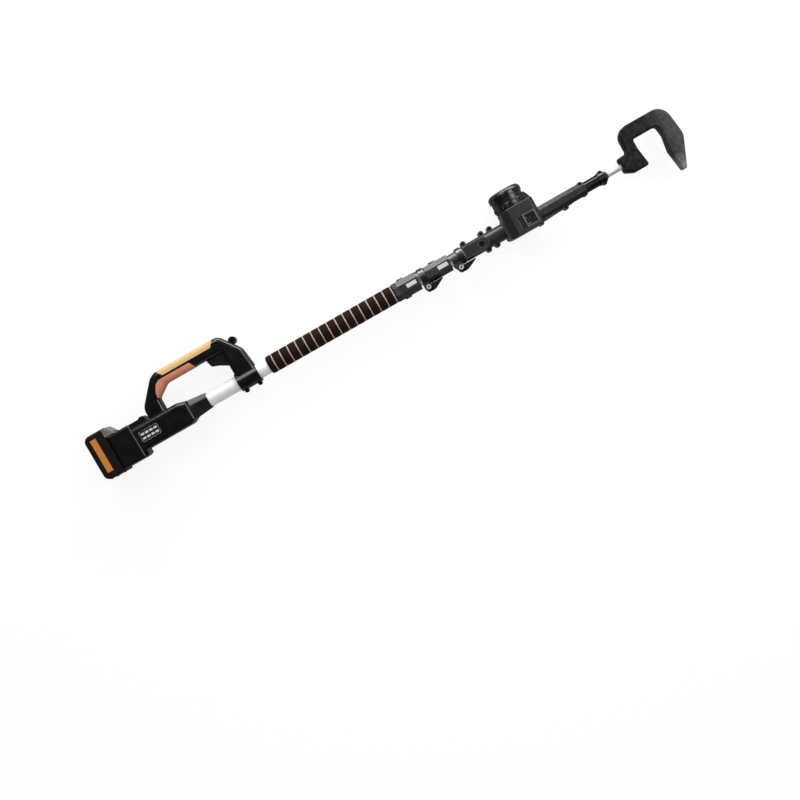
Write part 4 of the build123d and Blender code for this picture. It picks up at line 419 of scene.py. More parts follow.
ridge_sizes = {"Ridge radius": RIDGE_R, "Ridge length": RIDGE_WIDE * (high.z - low.z)}
tree, size = start_tree("button ridges", ridge_sizes)
slope = add_node(
    tree,
    "GeometryNodeMeshLine",
    {"Count": 3, "Start Location": foot.lerp(crown, RIDGE_FIRST), "Offset": foot.lerp(crown, RIDGE_LAST)},
    mode="END_POINTS",
)
reach = add_node(tree, "ShaderNodeCombineXYZ", {"Z": size["Ridge length"]})
back = add_node(tree, "ShaderNodeVectorMath", {0: reach.outputs[0], "Scale": -0.5}, operation="SCALE")
front = add_node(tree, "ShaderNodeVectorMath", {0: reach.outputs[0], "Scale": 0.5}, operation="SCALE")
spine = add_node(
    tree,
    "GeometryNodeCurvePrimitiveLine",
    {"Start": back.outputs[0], "End": front.outputs[0]},
)
section = add_node(
    tree,
    "GeometryNodeCurvePrimitiveCircle",
    {"Resolution": 12, "Radius": size["Ridge radius"]},
)
bar = add_node(
    tree,
    "GeometryNodeCurveToMesh",
    {"Curve": spine.outputs[0], "Profile Curve": section.outputs["Curve"], "Fill Caps": True},
)
ridges = add_node(
    tree,
    "GeometryNodeInstanceOnPoints",
    {"Points": slope.outputs["Mesh"], "Instance": bar.outputs["Mesh"]},
)
button_ridges = grow("battery_button_ridges", tree, ridge_sizes, ridges.outputs[0], button_abs)
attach(button_ridges, "battery_button")

# Inside the pack: ten lithium cells in a snap-together holder, with contacts behind the deck's slots.
# Cells are nickel-plated cans in a teal shrink sleeve that lets the metal shine through; the holder is
# moulded nylon, off white and waxy; the contacts are stamped from plated bronze, pale and warm.
sleeved_can = worked_metal(
    "nickel-plated can, shrink sleeve", "#6FA7A0", "#4E8A86", 0.36, 2.0, (1.0, 1.0, 0.1)
)
natural_nylon = moulded_plastic("natural nylon, off white", "#CFC8B6", "#DED9CC", 1.5, 0.5, 0.4)
plated_bronze = worked_metal("tin-plated bronze", "#C9B48A", "#A58A5C", 0.3, 0.6, (1.0, 0.1, 1.0))
spring_wire = worked_metal("spring steel", "#8D8F91", "#6A6C6E", 0.32, 0.5, (1.0, 1.0, 1.0))
dress(sleeved_can, "battery_cells")
dress(natural_nylon, "cell_holder")
dress(plated_bronze, "battery_contacts", "terminal_blades")
dress(spring_wire, "battery_button_spring", "trigger_spring")

# Handle shells: two mirrored halves of the foot, housing, hand loop and collar, closed on a flat joint.
# Injection-moulded black ABS with a satin grain; the joint shows as a fine dark line round the silhouette.
HANDLE_BLACK = "#080808"
# edge colour of the shells: partly wear, partly a painted edge highlight
HANDLE_EDGE_WEAR_HIGHLIGHT = "#3C3C40"
JOINT_HALF = 0.0004
JOINT_DARK = "#050505"


def reopen(material):
    """A finish's tree, shader and coordinates, to work on it further."""
    tree = material.node_tree
    shader = next(n for n in tree.nodes if n.bl_idname == "ShaderNodeBsdfPrincipled")
    place = next(n for n in tree.nodes if n.bl_idname == "ShaderNodeTexCoord").outputs["Object"]
    return tree, shader, place


def parting_line(material):
    """Darkens a fine line where two moulded halves meet at z = 0."""
    tree, shader, place = reopen(material)
    axes = add_node(tree, "ShaderNodeSeparateXYZ", {0: place})
    away = add_node(tree, "ShaderNodeMath", {0: axes.outputs["Z"]}, operation="ABSOLUTE")
    line = add_node(
        tree,
        "ShaderNodeMapRange",
        {"Value": away.outputs[0], "From Min": JOINT_HALF, "From Max": 0.6 * JOINT_HALF},
    )
    lay_over(tree, shader, line.outputs[0], JOINT_DARK)


satin_abs = moulded_plastic("ABS, satin black", HANDLE_BLACK, HANDLE_EDGE_WEAR_HIGHLIGHT, 1.6, 0.26, 0.7, edge_mm=1.2)
parting_line(satin_abs)
dress(satin_abs, "handle_shell_left", "handle_shell_right")

# Handle screws: self-tapping pan heads down in the bosses along both halves.
# Black-zinc steel, so they stay quiet in the black shell.
black_zinc = worked_metal("black-zinc steel", "#303133", "#1E1F21", 0.45, 0.6, (1.0, 1.0, 1.0))
dress(black_zinc, "handle_screws")

# Side panels and neck ferrule: louvred covers let into the housing's sides, and the collar over the pole.
# Moulded in a harder nylon than the shells: the panels polished and dark, the ferrule etched, so that it
# catches more light; its upper side is painted pale, a painted highlight.
# edge colour of the panels and ferrule: partly wear, partly a painted edge highlight
NYLON_EDGE_WEAR_HIGHLIGHT = "#55555A"
NECK_TOP_HIGHLIGHT = "#828280"
NECK_HIGHLIGHT_STRENGTH = 0.6  # how strong the painted highlight gets
NECK_HIGHLIGHT_FROM = 0.25  # shares of the ferrule's height above the pole's axis
NECK_HIGHLIGHT_FULL = 0.8
panel_nylon = moulded_plastic("nylon, polished black", "#080808", NYLON_EDGE_WEAR_HIGHLIGHT, 1.4, 0.26, 0.5, edge_mm=1.0)
etched_nylon = moulded_plastic("nylon, etched charcoal", "#0A0A0A", NYLON_EDGE_WEAR_HIGHLIGHT, 1.4, 0.32, 0.9, edge_mm=1.0)
neck_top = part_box("neck_ferrule")[1].y
tree, shader, place = reopen(etched_nylon)
axes = add_node(tree, "ShaderNodeSeparateXYZ", {0: place})
# painted highlight: the ferrule is painted paler towards its top, where the light falls
neck_highlight = add_node(
    tree,
    "ShaderNodeMapRange",
    {"Value": axes.outputs["Y"], "From Min": NECK_HIGHLIGHT_FROM * neck_top,
     "From Max": NECK_HIGHLIGHT_FULL * neck_top, "To Max": NECK_HIGHLIGHT_STRENGTH},
)
lay_over(tree, shader, neck_highlight.outputs[0], NECK_TOP_HIGHLIGHT)
dress(panel_nylon, "side_panels")
dress(etched_nylon, "neck_ferrule")

# Rating plates: a blank plate on the rear of each side panel, with a raised rim and eight blank fields.
# Pressed aluminium in black paint; the rim and the fields stand proud and are rolled with white enamel.
PLATE_LENGTH = 0.044
PLATE_HEIGHT = 0.0225
PLATE_CORNER = 0.0022
PLATE_THICK = 0.00035
PLATE_GAP = 0.0035  # from the panel's rear end
PLATE_BLACK = "#101010"
RIM_R = 0.00025
FIELD_LENGTH = 0.0078
FIELD_HEIGHT = 0.0046
FIELD_CORNER = 0.0006
FIELD_RISE = 0.0002
FIELD_SPREAD_X = 3.9 * FIELD_LENGTH
FIELD_SPREAD_Y = 2.05 * FIELD_HEIGHT
ENAMEL = "#C9CAC9"
ENAMEL_LIGHT = "#DADBDA"
ENAMEL_FROM = 0.00004  # heights above the plate's face where the roller begins to touch, and where it covers
ENAMEL_FULL = 0.0001
WELD = 0.00001


def rounded_slab(tree, length, height, corner, thickness):
    """A closed flat slab with rounded corners, its underside at z = 0, and the curve round it."""
    outline = add_node(tree, "GeometryNodeCurvePrimitiveQuadrilateral", {"Width": length, "Height": height})
    rounded = add_node(
        tree,
        "GeometryNodeFilletCurve",
        {"Curve": outline.outputs[0], "Count": 6, "Radius": corner, "Limit Radius": True},
        mode="POLY",
    )
    sheet = add_node(tree, "GeometryNodeFillCurve", {"Curve": rounded.outputs[0]}, mode="NGONS")
    top = add_node(tree, "GeometryNodeExtrudeMesh", {"Mesh": sheet.outputs[0], "Offset Scale": thickness})
    underside = add_node(tree, "GeometryNodeFlipFaces", {"Mesh": sheet.outputs[0]})
    both = add_node(tree, "GeometryNodeJoinGeometry", {0: top.outputs["Mesh"]})
    set_inputs(both, {0: underside.outputs[0]})
    slab = add_node(tree, "GeometryNodeMergeByDistance", {"Geometry": both.outputs[0], "Distance": WELD})
    return slab.outputs[0], rounded.outputs[0]


low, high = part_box("side_panels")
plate_x = low.x + PLATE_GAP + PLATE_LENGTH / 2
plate_y = (low.y + high.y) / 2
plate_face = high.z + PLATE_THICK
painted_plate, tree, shader, place = start_finish(
    "aluminium plate, black paint and white enamel", {"Specular IOR Level": 0.4}
)
axes = add_node(tree, "ShaderNodeSeparateXYZ", {0: place})
away = add_node(tree, "ShaderNodeMath", {0: axes.outputs["Z"]}, operation="ABSOLUTE")
proud = add_node(
    tree,
    "ShaderNodeMapRange",
    {"Value": away.outputs[0], "From Min": plate_face + ENAMEL_FROM, "From Max": plate_face + ENAMEL_FULL},
)
# brush strokes of the blank run along the plate, 0.5 mm apart, drawn at 1 mm
strokes = drawn_lines(tree, place, 1.0, (0.05, 1.0, 1.0), detail=2.0)
enamel = add_node(
    tree,
    "ShaderNodeMix",
    {0: strokes, 6: linear(ENAMEL), 7: linear(ENAMEL_LIGHT)},
    data_type="RGBA",
)
paint = add_node(
    tree,
    "ShaderNodeMix",
    {0: proud.outputs[0], 6: linear(PLATE_BLACK), 7: enamel.outputs[2]},
    data_type="RGBA",
)
gloss = add_node(tree, "ShaderNodeMapRange", {"Value": strokes, "To Min": 0.35, "To Max": 0.55})
set_inputs(shader, {"Base Color": paint.outputs[2], "Roughness": gloss.outputs[0]})
plate_sizes = {
    "Length": PLATE_LENGTH,
    "Height": PLATE_HEIGHT,
    "Corner": PLATE_CORNER,
    "Thickness": PLATE_THICK,
    "Rim radius": RIM_R,
    "Field length": FIELD_LENGTH,
    "Field height": FIELD_HEIGHT,
    "Field corner": FIELD_CORNER,
    "Field rise": FIELD_RISE,
    "Field spread X": FIELD_SPREAD_X,
    "Field spread Y": FIELD_SPREAD_Y,
    "Face": high.z,
}
tree, size = start_tree("rating plates", plate_sizes)
blank, edge = rounded_slab(tree, size["Length"], size["Height"], size["Corner"], size["Thickness"])
wire = add_node(
    tree,
    "GeometryNodeCurvePrimitiveCircle",
    {"Resolution": 10, "Radius": size["Rim radius"]},
)
rim = add_node(tree, "GeometryNodeCurveToMesh", {"Curve": edge, "Profile Curve": wire.outputs["Curve"]})
field = rounded_slab(
    tree, size["Field length"], size["Field height"], size["Field corner"], size["Field rise"]
)[0]
rows = add_node(
    tree,
    "GeometryNodeMeshGrid",
    {"Size X": size["Field spread X"], "Size Y": size["Field spread Y"], "Vertices X": 4, "Vertices Y": 2},
)
fields = add_node(tree, "GeometryNodeInstanceOnPoints", {"Points": rows.outputs["Mesh"], "Instance": field})
raised = add_node(tree, "GeometryNodeJoinGeometry", {0: rim.outputs[0]})
set_inputs(raised, {0: fields.outputs[0]})
lift = add_node(tree, "ShaderNodeCombineXYZ", {"Z": size["Thickness"]})
seated = add_node(
    tree,
    "GeometryNodeTransform",
    {"Geometry": raised.outputs[0], "Translation": lift.outputs[0]},
)
plate = add_node(tree, "GeometryNodeJoinGeometry", {0: blank})
set_inputs(plate, {0: seated.outputs[0]})
spot = add_node(tree, "ShaderNodeCombineXYZ", {"X": plate_x, "Y": plate_y, "Z": size["Face"]})
pair = add_node(tree, "GeometryNodeJoinGeometry")
for side, turn in ((1.0, 0.0), (-1.0, math.pi)):
    panel = add_node(
        tree,
        "ShaderNodeVectorMath",
        {0: spot.outputs[0], 1: (1.0, 1.0, side)},
        operation="MULTIPLY",
    )
    stuck_on = add_node(
        tree,
        "GeometryNodeTransform",
        {"Geometry": plate.outputs[0], "Translation": panel.outputs[0], "Rotation": (turn, 0.0, 0.0)},
    )
    set_inputs(pair, {0: stuck_on.outputs[0]})
rating_plates = grow("rating_plates", tree, plate_sizes, pair.outputs[0], painted_plate)
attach(rating_plates, "handle")

# Palm insert and finger insert: soft pads let into the top and the underside of the hand loop's bar.
# Thermoplastic rubber, overmoulded; matt, with a dry pebbled skin, sand on top and salmon below.


def soft_rubber(name, colour, deep, pebble_mm):
    """Overmoulded soft rubber: matt, pebbled, a shade deeper where hands press it, over some 22 mm."""
    material, tree, shader, place = start_finish(
        name, {"Specular IOR Level": 0.25, "Sheen Weight": 0.08, "Sheen Roughness": 0.5}
    )
    pebble = add_node(
        tree,
        "ShaderNodeTexVoronoi",
        {"Vector": place, "Scale": 1000 / pebble_mm},
        feature="SMOOTH_F1",
    )
    press = clouded(tree, shader, place, 22, 4.0, colour, deep)
    gloss = add_node(tree, "ShaderNodeMapRange", {"Value": press, "To Min": 0.55, "To Max": 0.75})
    skin = add_node(
        tree,
        "ShaderNodeBump",
        {"Strength": 0.3, "Distance": 0.0003, "Height": pebble.outputs["Distance"]},
        invert=True,
    )
    set_inputs(shader, {"Roughness": gloss.outputs[0], "Normal": skin.outputs[0]})
    return material


# Real pebbles are near 0.8 mm, drawn at 2 mm so that they show.
sand_rubber = soft_rubber("thermoplastic rubber, sand", "#EAC68F", "#DCB57E", 2.0)
salmon_rubber = soft_rubber("thermoplastic rubber, salmon", "#DE9073", "#CC8067", 2.0)
dress(sand_rubber, "top_insert")
dress(salmon_rubber, "finger_insert")

# Trigger: the squeeze lever under the bar, on its own steel pin, with its switch and spring behind it.
# Glass-filled nylon with a finger-polished face; the switch is a plain black microswitch.
polished_nylon = moulded_plastic("nylon, finger-polished black", "#110F0D", "#34302E", 1.2, 0.34, 0.5)
ground_steel = worked_metal("ground steel", "#A2A5A8", "#7E8184", 0.28, 0.4, (1.0, 0.1, 1.0))
dress(polished_nylon, "trigger", "trigger_switch")
dress(ground_steel, "trigger_pin")

# Control board: the circuit board inside the housing, and the block that carries the battery's blades.
# Glass-epoxy laminate under green solder mask, glossy, its copper showing as paler tracks 2 mm apart.
solder_mask, tree, shader, place = start_finish(
    "glass-epoxy board, green solder mask", {"Roughness": 0.3, "Coat Weight": 0.3, "Coat Roughness": 0.15}
)
# a row of the brick pattern is a quarter of its scale high, so 8 mm puts the tracks 2 mm apart
tracks = add_node(
    tree,
    "ShaderNodeTexBrick",
    {"Vector": place, "Scale": 1000 / 8, "Mortar Size": 0.06, "Color1": linear("#1C5A33"),
     "Color2": linear("#236B3D"), "Mortar": linear("#3F8F58")},
)
set_inputs(shader, {"Base Color": tracks.outputs["Color"]})
dress(solder_mask, "control_board")
dress(natural_nylon, "terminal_block")

# Pole: three telescoping tubes, the outer one held in the housing, with a slide guide on each inner end.
# Drawn aluminium, bead blasted and clear anodised, so it is pale and even with faint draw lines along it.
TUBE_PALE = "#FBFBF9"
TUBE_DULL = "#F3F3F1"
anodised, tree, shader, place = start_finish(
    "aluminium, blasted and clear anodised", {"Metallic": 0.05, "Specular IOR Level": 0.5}
)
clouded(tree, shader, place, 60, 3.0, TUBE_PALE, TUBE_DULL)
# draw lines some 0.4 mm apart, drawn at 1.5 mm
lines = drawn_lines(tree, place, 1.5, (0.02, 1.0, 1.0))
gloss = add_node(tree, "ShaderNodeMapRange", {"Value": lines, "To Min": 0.42, "To Max": 0.62})
skin = add_node(tree, "ShaderNodeBump", {"Strength": 0.08, "Distance": 0.0001, "Height": lines})
set_inputs(shader, {"Roughness": gloss.outputs[0], "Normal": skin.outputs[0]})
dress(anodised, "outer_tube", "middle_tube", "inner_tube")
dress(natural_nylon, "middle_guide", "inner_guide")

# Foam grip: a sleeve of black nitrile foam pushed over the outer tube, with rings set in its grooves.
# Closed-cell and ground to size, so its skin is open and dull; it swells a little between the rings.
FOAM_BLACK = "#160C07"
FOAM_DUSTY = "#25170F"
FOAM_SHEEN = "#8A6C5C"
FOAM_SIDES = 72
FOAM_STEP = 0.0006
FOAM_DIP = 0.0007  # how far each ring draws the foam in beside it
FOAM_RELAX = 0.0022  # length over which it swells again
FOAM_GROOVE = 0.00125
FOAM_CORNER = 0.0014
FOAM_TAPER = 0.009
FOAM_DRAWN = 0.0016  # how much smaller the rear end is
FOAM_CLEAR = 0.00002  # off the ends of the plain solid
BORE_CLEAR = 0.00005  # off the tube
RING_COUNT = 16
RING_WIDTH = 0.0024
low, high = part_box("foam_grip")
foam_r = high.y
bore_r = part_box("outer_tube")[1].y + BORE_CLEAR
ring_low, ring_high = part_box("grip_rings")
first_ring = ring_low.x + RING_WIDTH / 2
ring_pitch = (ring_high.x - ring_low.x - RING_WIDTH) / (RING_COUNT - 1)


def foam_radius(x):
    """Outer radius of the foam at a place along the pole."""
    nearest = min(max(round((x - first_ring) / ring_pitch), 0), RING_COUNT - 1)
    away = abs(x - first_ring - nearest * ring_pitch)
    if away <= RING_WIDTH / 2:
        return foam_r - FOAM_GROOVE
    dip = FOAM_DIP * math.exp(-(away - RING_WIDTH / 2) / FOAM_RELAX)
    rear = max(0.0, 1.0 - (x - low.x) / FOAM_TAPER)
    ends = min(x - low.x, high.x - x)
    corner = FOAM_CORNER * max(0.0, 1.0 - ends / FOAM_CORNER) ** 2
    return foam_r - dip - FOAM_DRAWN * rear ** 2 - corner


stations = [low.x + FOAM_CLEAR + FOAM_STEP * i for i in range(int((high.x - low.x) / FOAM_STEP))]
stations.append(high.x - FOAM_CLEAR)
profile = [(stations[0], bore_r)] + [(x, foam_radius(x)) for x in stations] + [(stations[-1], bore_r)]
foam_mesh = bmesh.new()
rings = []
for x, r in profile:
    ring = []
    for side in range(FOAM_SIDES):
        angle = 2 * math.pi * side / FOAM_SIDES
        ring.append(foam_mesh.verts.new((x, r * math.cos(angle), r * math.sin(angle))))
    rings.append(ring)
for here, there in zip(rings, rings[1:] + rings[:1]):
    for side in range(FOAM_SIDES):
        beside = (side + 1) % FOAM_SIDES
        foam_mesh.faces.new((here[side], here[beside], there[beside], there[side]))
bmesh.ops.recalc_face_normals(foam_mesh, faces=foam_mesh.faces)
for face in foam_mesh.faces:
    face.smooth = True
foam_grip = bpy.data.objects.new("foam_sleeve", bpy.data.meshes.new("foam_sleeve"))
foam_mesh.to_mesh(foam_grip.data)
foam_mesh.free()
bpy.context.scene.collection.objects.link(foam_grip)
nitrile_foam, tree, shader, place = start_finish(
    "nitrile foam, black",
    {"Roughness": 0.85, "Specular IOR Level": 0.1, "Sheen Weight": 0.2, "Sheen Roughness": 0.6,
     "Sheen Tint": linear(FOAM_SHEEN)},
)
clouded(tree, shader, place, 9, 5.0, FOAM_BLACK, FOAM_DUSTY)
# Open cells of about 0.5 mm, drawn at 1.6 mm so that they show.
cells = add_node(tree, "ShaderNodeTexVoronoi", {"Vector": place, "Scale": 1000 / 1.6}, feature="SMOOTH_F1")
skin = add_node(
    tree,
    "ShaderNodeBump",
    {"Strength": 0.6, "Distance": 0.0005, "Height": cells.outputs["Distance"]},
)
set_inputs(shader, {"Normal": skin.outputs[0]})
foam_grip.data.materials.append(nitrile_foam)
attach(foam_grip, "handle")
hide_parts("foam_grip")

# Grip rings: sixteen bands of dusty-pink rubber that sit in the foam's grooves.
# Cut from extruded silicone tube and stretched into place; matt with a slight bloom.
silicone = soft_rubber("silicone rubber, dusty pink", "#BBAAA6", "#A79691", 1.5)
dress(silicone, "grip_rings")

# Cam clamps: an eight-sided sleeve on each tube's end that runs into a slit collar round the next tube.
# Mica-filled nylon in slate grey: its flats shine where they face the light, and its corners are painted
# pale, partly as wear and partly as a painted highlight. The lower sleeve's rear end is dipped in soft black
# vinyl, dull and even.
CLAMP_SLATE = "#171817"
CLAMP_EDGE_WEAR_HIGHLIGHT = "#8F908E"
MICA_IOR = 1.65  # mica in the nylon returns more light than plain plastic
VINYL_BLACK = "#141414"
VINYL_DULL = 0.85
DIP_LENGTH = 0.011
DIP_BLEND = 0.0003
clamp_nylon = moulded_plastic(
    "mica-filled nylon, slate grey", CLAMP_SLATE, CLAMP_EDGE_WEAR_HIGHLIGHT, 1.4, 0.38, 1.0, edge_mm=1.0
)
tree, shader, place = reopen(clamp_nylon)
set_inputs(shader, {"IOR": MICA_IOR})
dip_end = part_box("lower_clamp")[0].x + DIP_LENGTH
axes = add_node(tree, "ShaderNodeSeparateXYZ", {0: place})
dipped = add_node(
    tree,
    "ShaderNodeMapRange",
    {"Value": axes.outputs["X"], "From Min": dip_end + DIP_BLEND, "From Max": dip_end - DIP_BLEND},
)
dull = add_node(tree, "ShaderNodeMath", {0: dipped.outputs[0], 1: VINYL_DULL}, operation="MULTIPLY")
gloss = add_node(
    tree,
    "ShaderNodeMath",
    {0: shader.inputs["Roughness"].links[0].from_socket, 1: dull.outputs[0]},
    operation="MAXIMUM",
)
set_inputs(shader, {"Roughness": gloss.outputs[0]})
lay_over(tree, shader, dipped.outputs[0], VINYL_BLACK)
dress(clamp_nylon, "lower_clamp", "upper_clamp")

# Clamp bands: bright straps round each slit collar, drawn in when the lever closes.
# Spring-steel strip, rolled and polished, with fine lines round the strap: bright towards the light only.
strip_steel = worked_metal(
    "spring-steel strip, polished", "#727372", "#5E5F5E", 0.28, 0.6, (1.0, 0.05, 0.05)
)
dress(strip_steel, "lower_clamp_band", "upper_clamp_band")

# Clamp badges: blank white plates on the flat of each sleeve.
# Printed polycarbonate film, smooth and a little glossy, faintly clouded over 8 mm.
badge_film, tree, shader, place = start_finish(
    "polycarbonate film, white", {"Coat Weight": 0.2, "Coat Roughness": 0.15}
)
cloud = clouded(tree, shader, place, 8, 3.0, "#DCDEDC", "#CED1CE")
gloss = add_node(tree, "ShaderNodeMapRange", {"Value": cloud, "To Min": 0.3, "To Max": 0.45})
set_inputs(shader, {"Roughness": gloss.outputs[0]})
dress(badge_film, "lower_clamp_badge", "upper_clamp_badge")

# Cam levers: the flip levers under the collars, each on a pin with a cross recess in its round head.
# Black acetal, slippery and satin; the pins are nickel-plated steel, bright with a faint bloom.
PIN_NICKEL = "#F0F0EC"
PIN_BLOOM = "#D9D9D5"
PIN_RECESS_SHADE = "#0A0A0A"
PIN_RECESS = 0.0009  # half the width of the cross
PIN_RECESS_REACH = 0.0036
PIN_RECESS_TURN = math.radians(25)
PIN_FACE = 0.0002  # only this near the head's face
acetal = moulded_plastic("acetal, satin black", "#121212", "#56565A", 1.4, 0.32, 0.6, edge_mm=0.9)


def cross_recess_pin(name, node):
    """Satin nickel, with a cross recess painted dark, as painted shade, in the middle of the pin's round
    head.
    """
    low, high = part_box(node)
    material, tree, shader, place = start_finish(name, {"Metallic": 0.35, "Specular IOR Level": 0.6})
    bloom = clouded(tree, shader, place, 2, 3.0, PIN_NICKEL, PIN_BLOOM)
    gloss = add_node(tree, "ShaderNodeMapRange", {"Value": bloom, "To Min": 0.3, "To Max": 0.5})
    set_inputs(shader, {"Roughness": gloss.outputs[0]})
    centred = add_node(
        tree,
        "ShaderNodeVectorMath",
        {0: place, 1: ((low.x + high.x) / 2, (low.y + high.y) / 2, high.z)},
        operation="SUBTRACT",
    )
    spun = add_node(
        tree,
        "ShaderNodeVectorRotate",
        {"Vector": centred.outputs[0], "Angle": PIN_RECESS_TURN},
        rotation_type="Z_AXIS",
    )
    folded = add_node(tree, "ShaderNodeVectorMath", {0: spun.outputs[0]}, operation="ABSOLUTE")
    sides = add_node(tree, "ShaderNodeSeparateXYZ", {0: folded.outputs[0]})
    across = {0: sides.outputs["X"], 1: sides.outputs["Y"]}
    short = add_node(tree, "ShaderNodeMath", across, operation="MINIMUM")
    long = add_node(tree, "ShaderNodeMath", across, operation="MAXIMUM")
    arm = add_node(tree, "ShaderNodeMath", {0: short.outputs[0], 1: PIN_RECESS}, operation="LESS_THAN")
    reach = add_node(tree, "ShaderNodeMath", {0: long.outputs[0], 1: PIN_RECESS_REACH}, operation="LESS_THAN")
    face = add_node(tree, "ShaderNodeMath", {0: sides.outputs["Z"], 1: PIN_FACE}, operation="LESS_THAN")
    cross = add_node(tree, "ShaderNodeMath", {0: arm.outputs[0], 1: reach.outputs[0]}, operation="MULTIPLY")
    recess_shade = add_node(tree, "ShaderNodeMath", {0: cross.outputs[0], 1: face.outputs[0]}, operation="MULTIPLY")
    # painted shade: the cross recess is drawn dark on the head, not cut into it
    lay_over(tree, shader, recess_shade.outputs[0], PIN_RECESS_SHADE)
    dress(material, node)


dress(acetal, "lower_lever", "upper_lever")
cross_recess_pin("nickel-plated steel, lower pin", "lower_lever_pin")
cross_recess_pin("nickel-plated steel, upper pin", "upper_lever_pin")

# Head shells: two halves of the socket, gear block, nose and muzzle that carry the motor and the rod.
# Glass-filled nylon in charcoal, ground finer than the handle's; its edges are painted as pale lines, partly
# wear and partly a painted highlight.
HEAD_CHARCOAL = "#272727"
HEAD_EDGE_WEAR_HIGHLIGHT = "#C4C4C4"
GREASE_BLACK = "#080808"
GREASE_START = 0.01  # behind the nose
GREASE_FULL = 0.03  # behind the muzzle's end
GREASE_WET = -0.1  # its change of roughness
NOTCH_SHADE = "#040404"
NOTCH_HALF = Vector((0.0057, 0.0150, 0.0))
NOTCH_SETBACK = Vector((0.02005, 0.0, 0.0))  # from the vent's middle
BEZEL_HIGHLIGHT = "#7E7E7E"
BEZEL_HALF = Vector((0.0143, 0.0131, 0.0))
BEZEL_HIGHLIGHT_LOW = 0.1  # how strong the painted highlight is along its lower and its upper edge
BEZEL_HIGHLIGHT_HIGH = 0.9
head_nylon = moulded_plastic(
    "glass-filled nylon, charcoal", HEAD_CHARCOAL, HEAD_EDGE_WEAR_HIGHLIGHT, 1.4, 0.34, 0.6, edge_mm=1.3
)
parting_line(head_nylon)
tree, shader, place = reopen(head_nylon)
axes = add_node(tree, "ShaderNodeSeparateXYZ", {0: place})
# grease and leaf dust blacken the head from the nose to the muzzle
nose_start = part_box("gear_plate")[1].x
muzzle_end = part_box("head_shell_left")[1].x
grease = add_node(
    tree,
    "ShaderNodeMapRange",
    {"Value": axes.outputs["X"], "From Min": nose_start - GREASE_START, "From Max": muzzle_end - GREASE_FULL},
)
wet = add_node(
    tree,
    "ShaderNodeMath",
    {0: grease.outputs[0], 1: GREASE_WET, 2: shader.inputs["Roughness"].links[0].from_socket},
    operation="MULTIPLY_ADD",
)
set_inputs(shader, {"Roughness": wet.outputs[0]})
lay_over(tree, shader, grease.outputs[0], GREASE_BLACK)
# painted shade: black fills the notch behind each vent, where shadow falls; painted highlight: the bezel
# round the vent is painted pale, more towards its top, where the light falls
low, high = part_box("vent_grilles")
vent = (low + high) / 2
notch_shade = add_node(
    tree,
    "ShaderNodeMath",
    {0: past_sides(tree, place, vent - NOTCH_SETBACK, NOTCH_HALF), 1: 0.0},
    operation="LESS_THAN",
)
lay_over(tree, shader, notch_shade.outputs[0], NOTCH_SHADE)
bezel = add_node(
    tree,
    "ShaderNodeMath",
    {0: past_sides(tree, place, vent, BEZEL_HALF), 1: 0.0},
    operation="LESS_THAN",
)
upper = add_node(
    tree,
    "ShaderNodeMapRange",
    {"Value": axes.outputs["Y"], "From Min": vent.y - BEZEL_HALF.y, "From Max": vent.y + BEZEL_HALF.y,
     "To Min": BEZEL_HIGHLIGHT_LOW, "To Max": BEZEL_HIGHLIGHT_HIGH},
)
pale_edge = add_node(tree, "ShaderNodeMath", {0: bezel.outputs[0], 1: upper.outputs[0]}, operation="MULTIPLY")
lay_over(tree, shader, pale_edge.outputs[0], BEZEL_HIGHLIGHT)
dress(head_nylon, "head_shell_left", "head_shell_right", "gear_plate")
dress(black_zinc, "head_screws", "socket_bolt", "hook_grub_screws")

# Vent grilles: slatted frames in both sides of the gear block, over the motor's cooling air.
# Black acetal, thin and glossy along the slats.
dress(acetal, "vent_grilles")

# Motor: a finned can that stands on the gear block under a lobed cap, with stator, rotor and fan inside.
# Can and cap are glass-filled nylon, deep black and satin; the iron is laminated and lacquered.
motor_nylon = moulded_plastic(
    "glass-filled nylon, deep black", "#060606", "#4A4A4A", 1.4, 0.31, 0.8, edge_mm=1.0
)
lacquered_iron = worked_metal("lacquered laminations", "#7C7F83", "#55585C", 0.42, 0.6, (1.0, 1.0, 0.05))
dress(motor_nylon, "motor_housing", "motor_cap")
dress(lacquered_iron, "motor_stator", "motor_rotor")
dress(ground_steel, "motor_shaft", "head_bearings")
dress(natural_nylon, "motor_fan")

# Gear train: the crank gear with its sleeve, and the yoke that turns its circle into the rod's stroke.
# Case-hardened steel, cut and ground; the sleeve and the rod's bushes are sintered bronze, dull and warm.
hardened_steel = worked_metal("case-hardened steel", "#8B8E91", "#66696C", 0.36, 0.5, (1.0, 0.1, 1.0))
sintered_bronze = worked_metal("sintered bronze", "#B08A52", "#8A6A3C", 0.46, 0.8, (1.0, 1.0, 1.0))
dress(hardened_steel, "crank_gear", "yoke")
dress(sintered_bronze, "crank_sleeve", "rod_bushes")

# Drive rod and its seal: the bright rod that shakes the hook, wiped by a lip seal in the muzzle.
# Hard-chromed steel, ground to a pale satin; the seal is black nitrile rubber, matt.
hard_chrome, tree, shader, place = start_finish("hard chrome on steel, satin", {"Metallic": 0.3})
bloom = clouded(tree, shader, place, 12, 3.0, "#CFCFCD", "#C1C1BF")
gloss = add_node(tree, "ShaderNodeMapRange", {"Value": bloom, "To Min": 0.42, "To Max": 0.55})
set_inputs(shader, {"Roughness": gloss.outputs[0]})
nitrile = soft_rubber("nitrile rubber, black", "#1A1918", "#242322", 1.5)
dress(hard_chrome, "drive_rod")
dress(nitrile, "rod_seal")

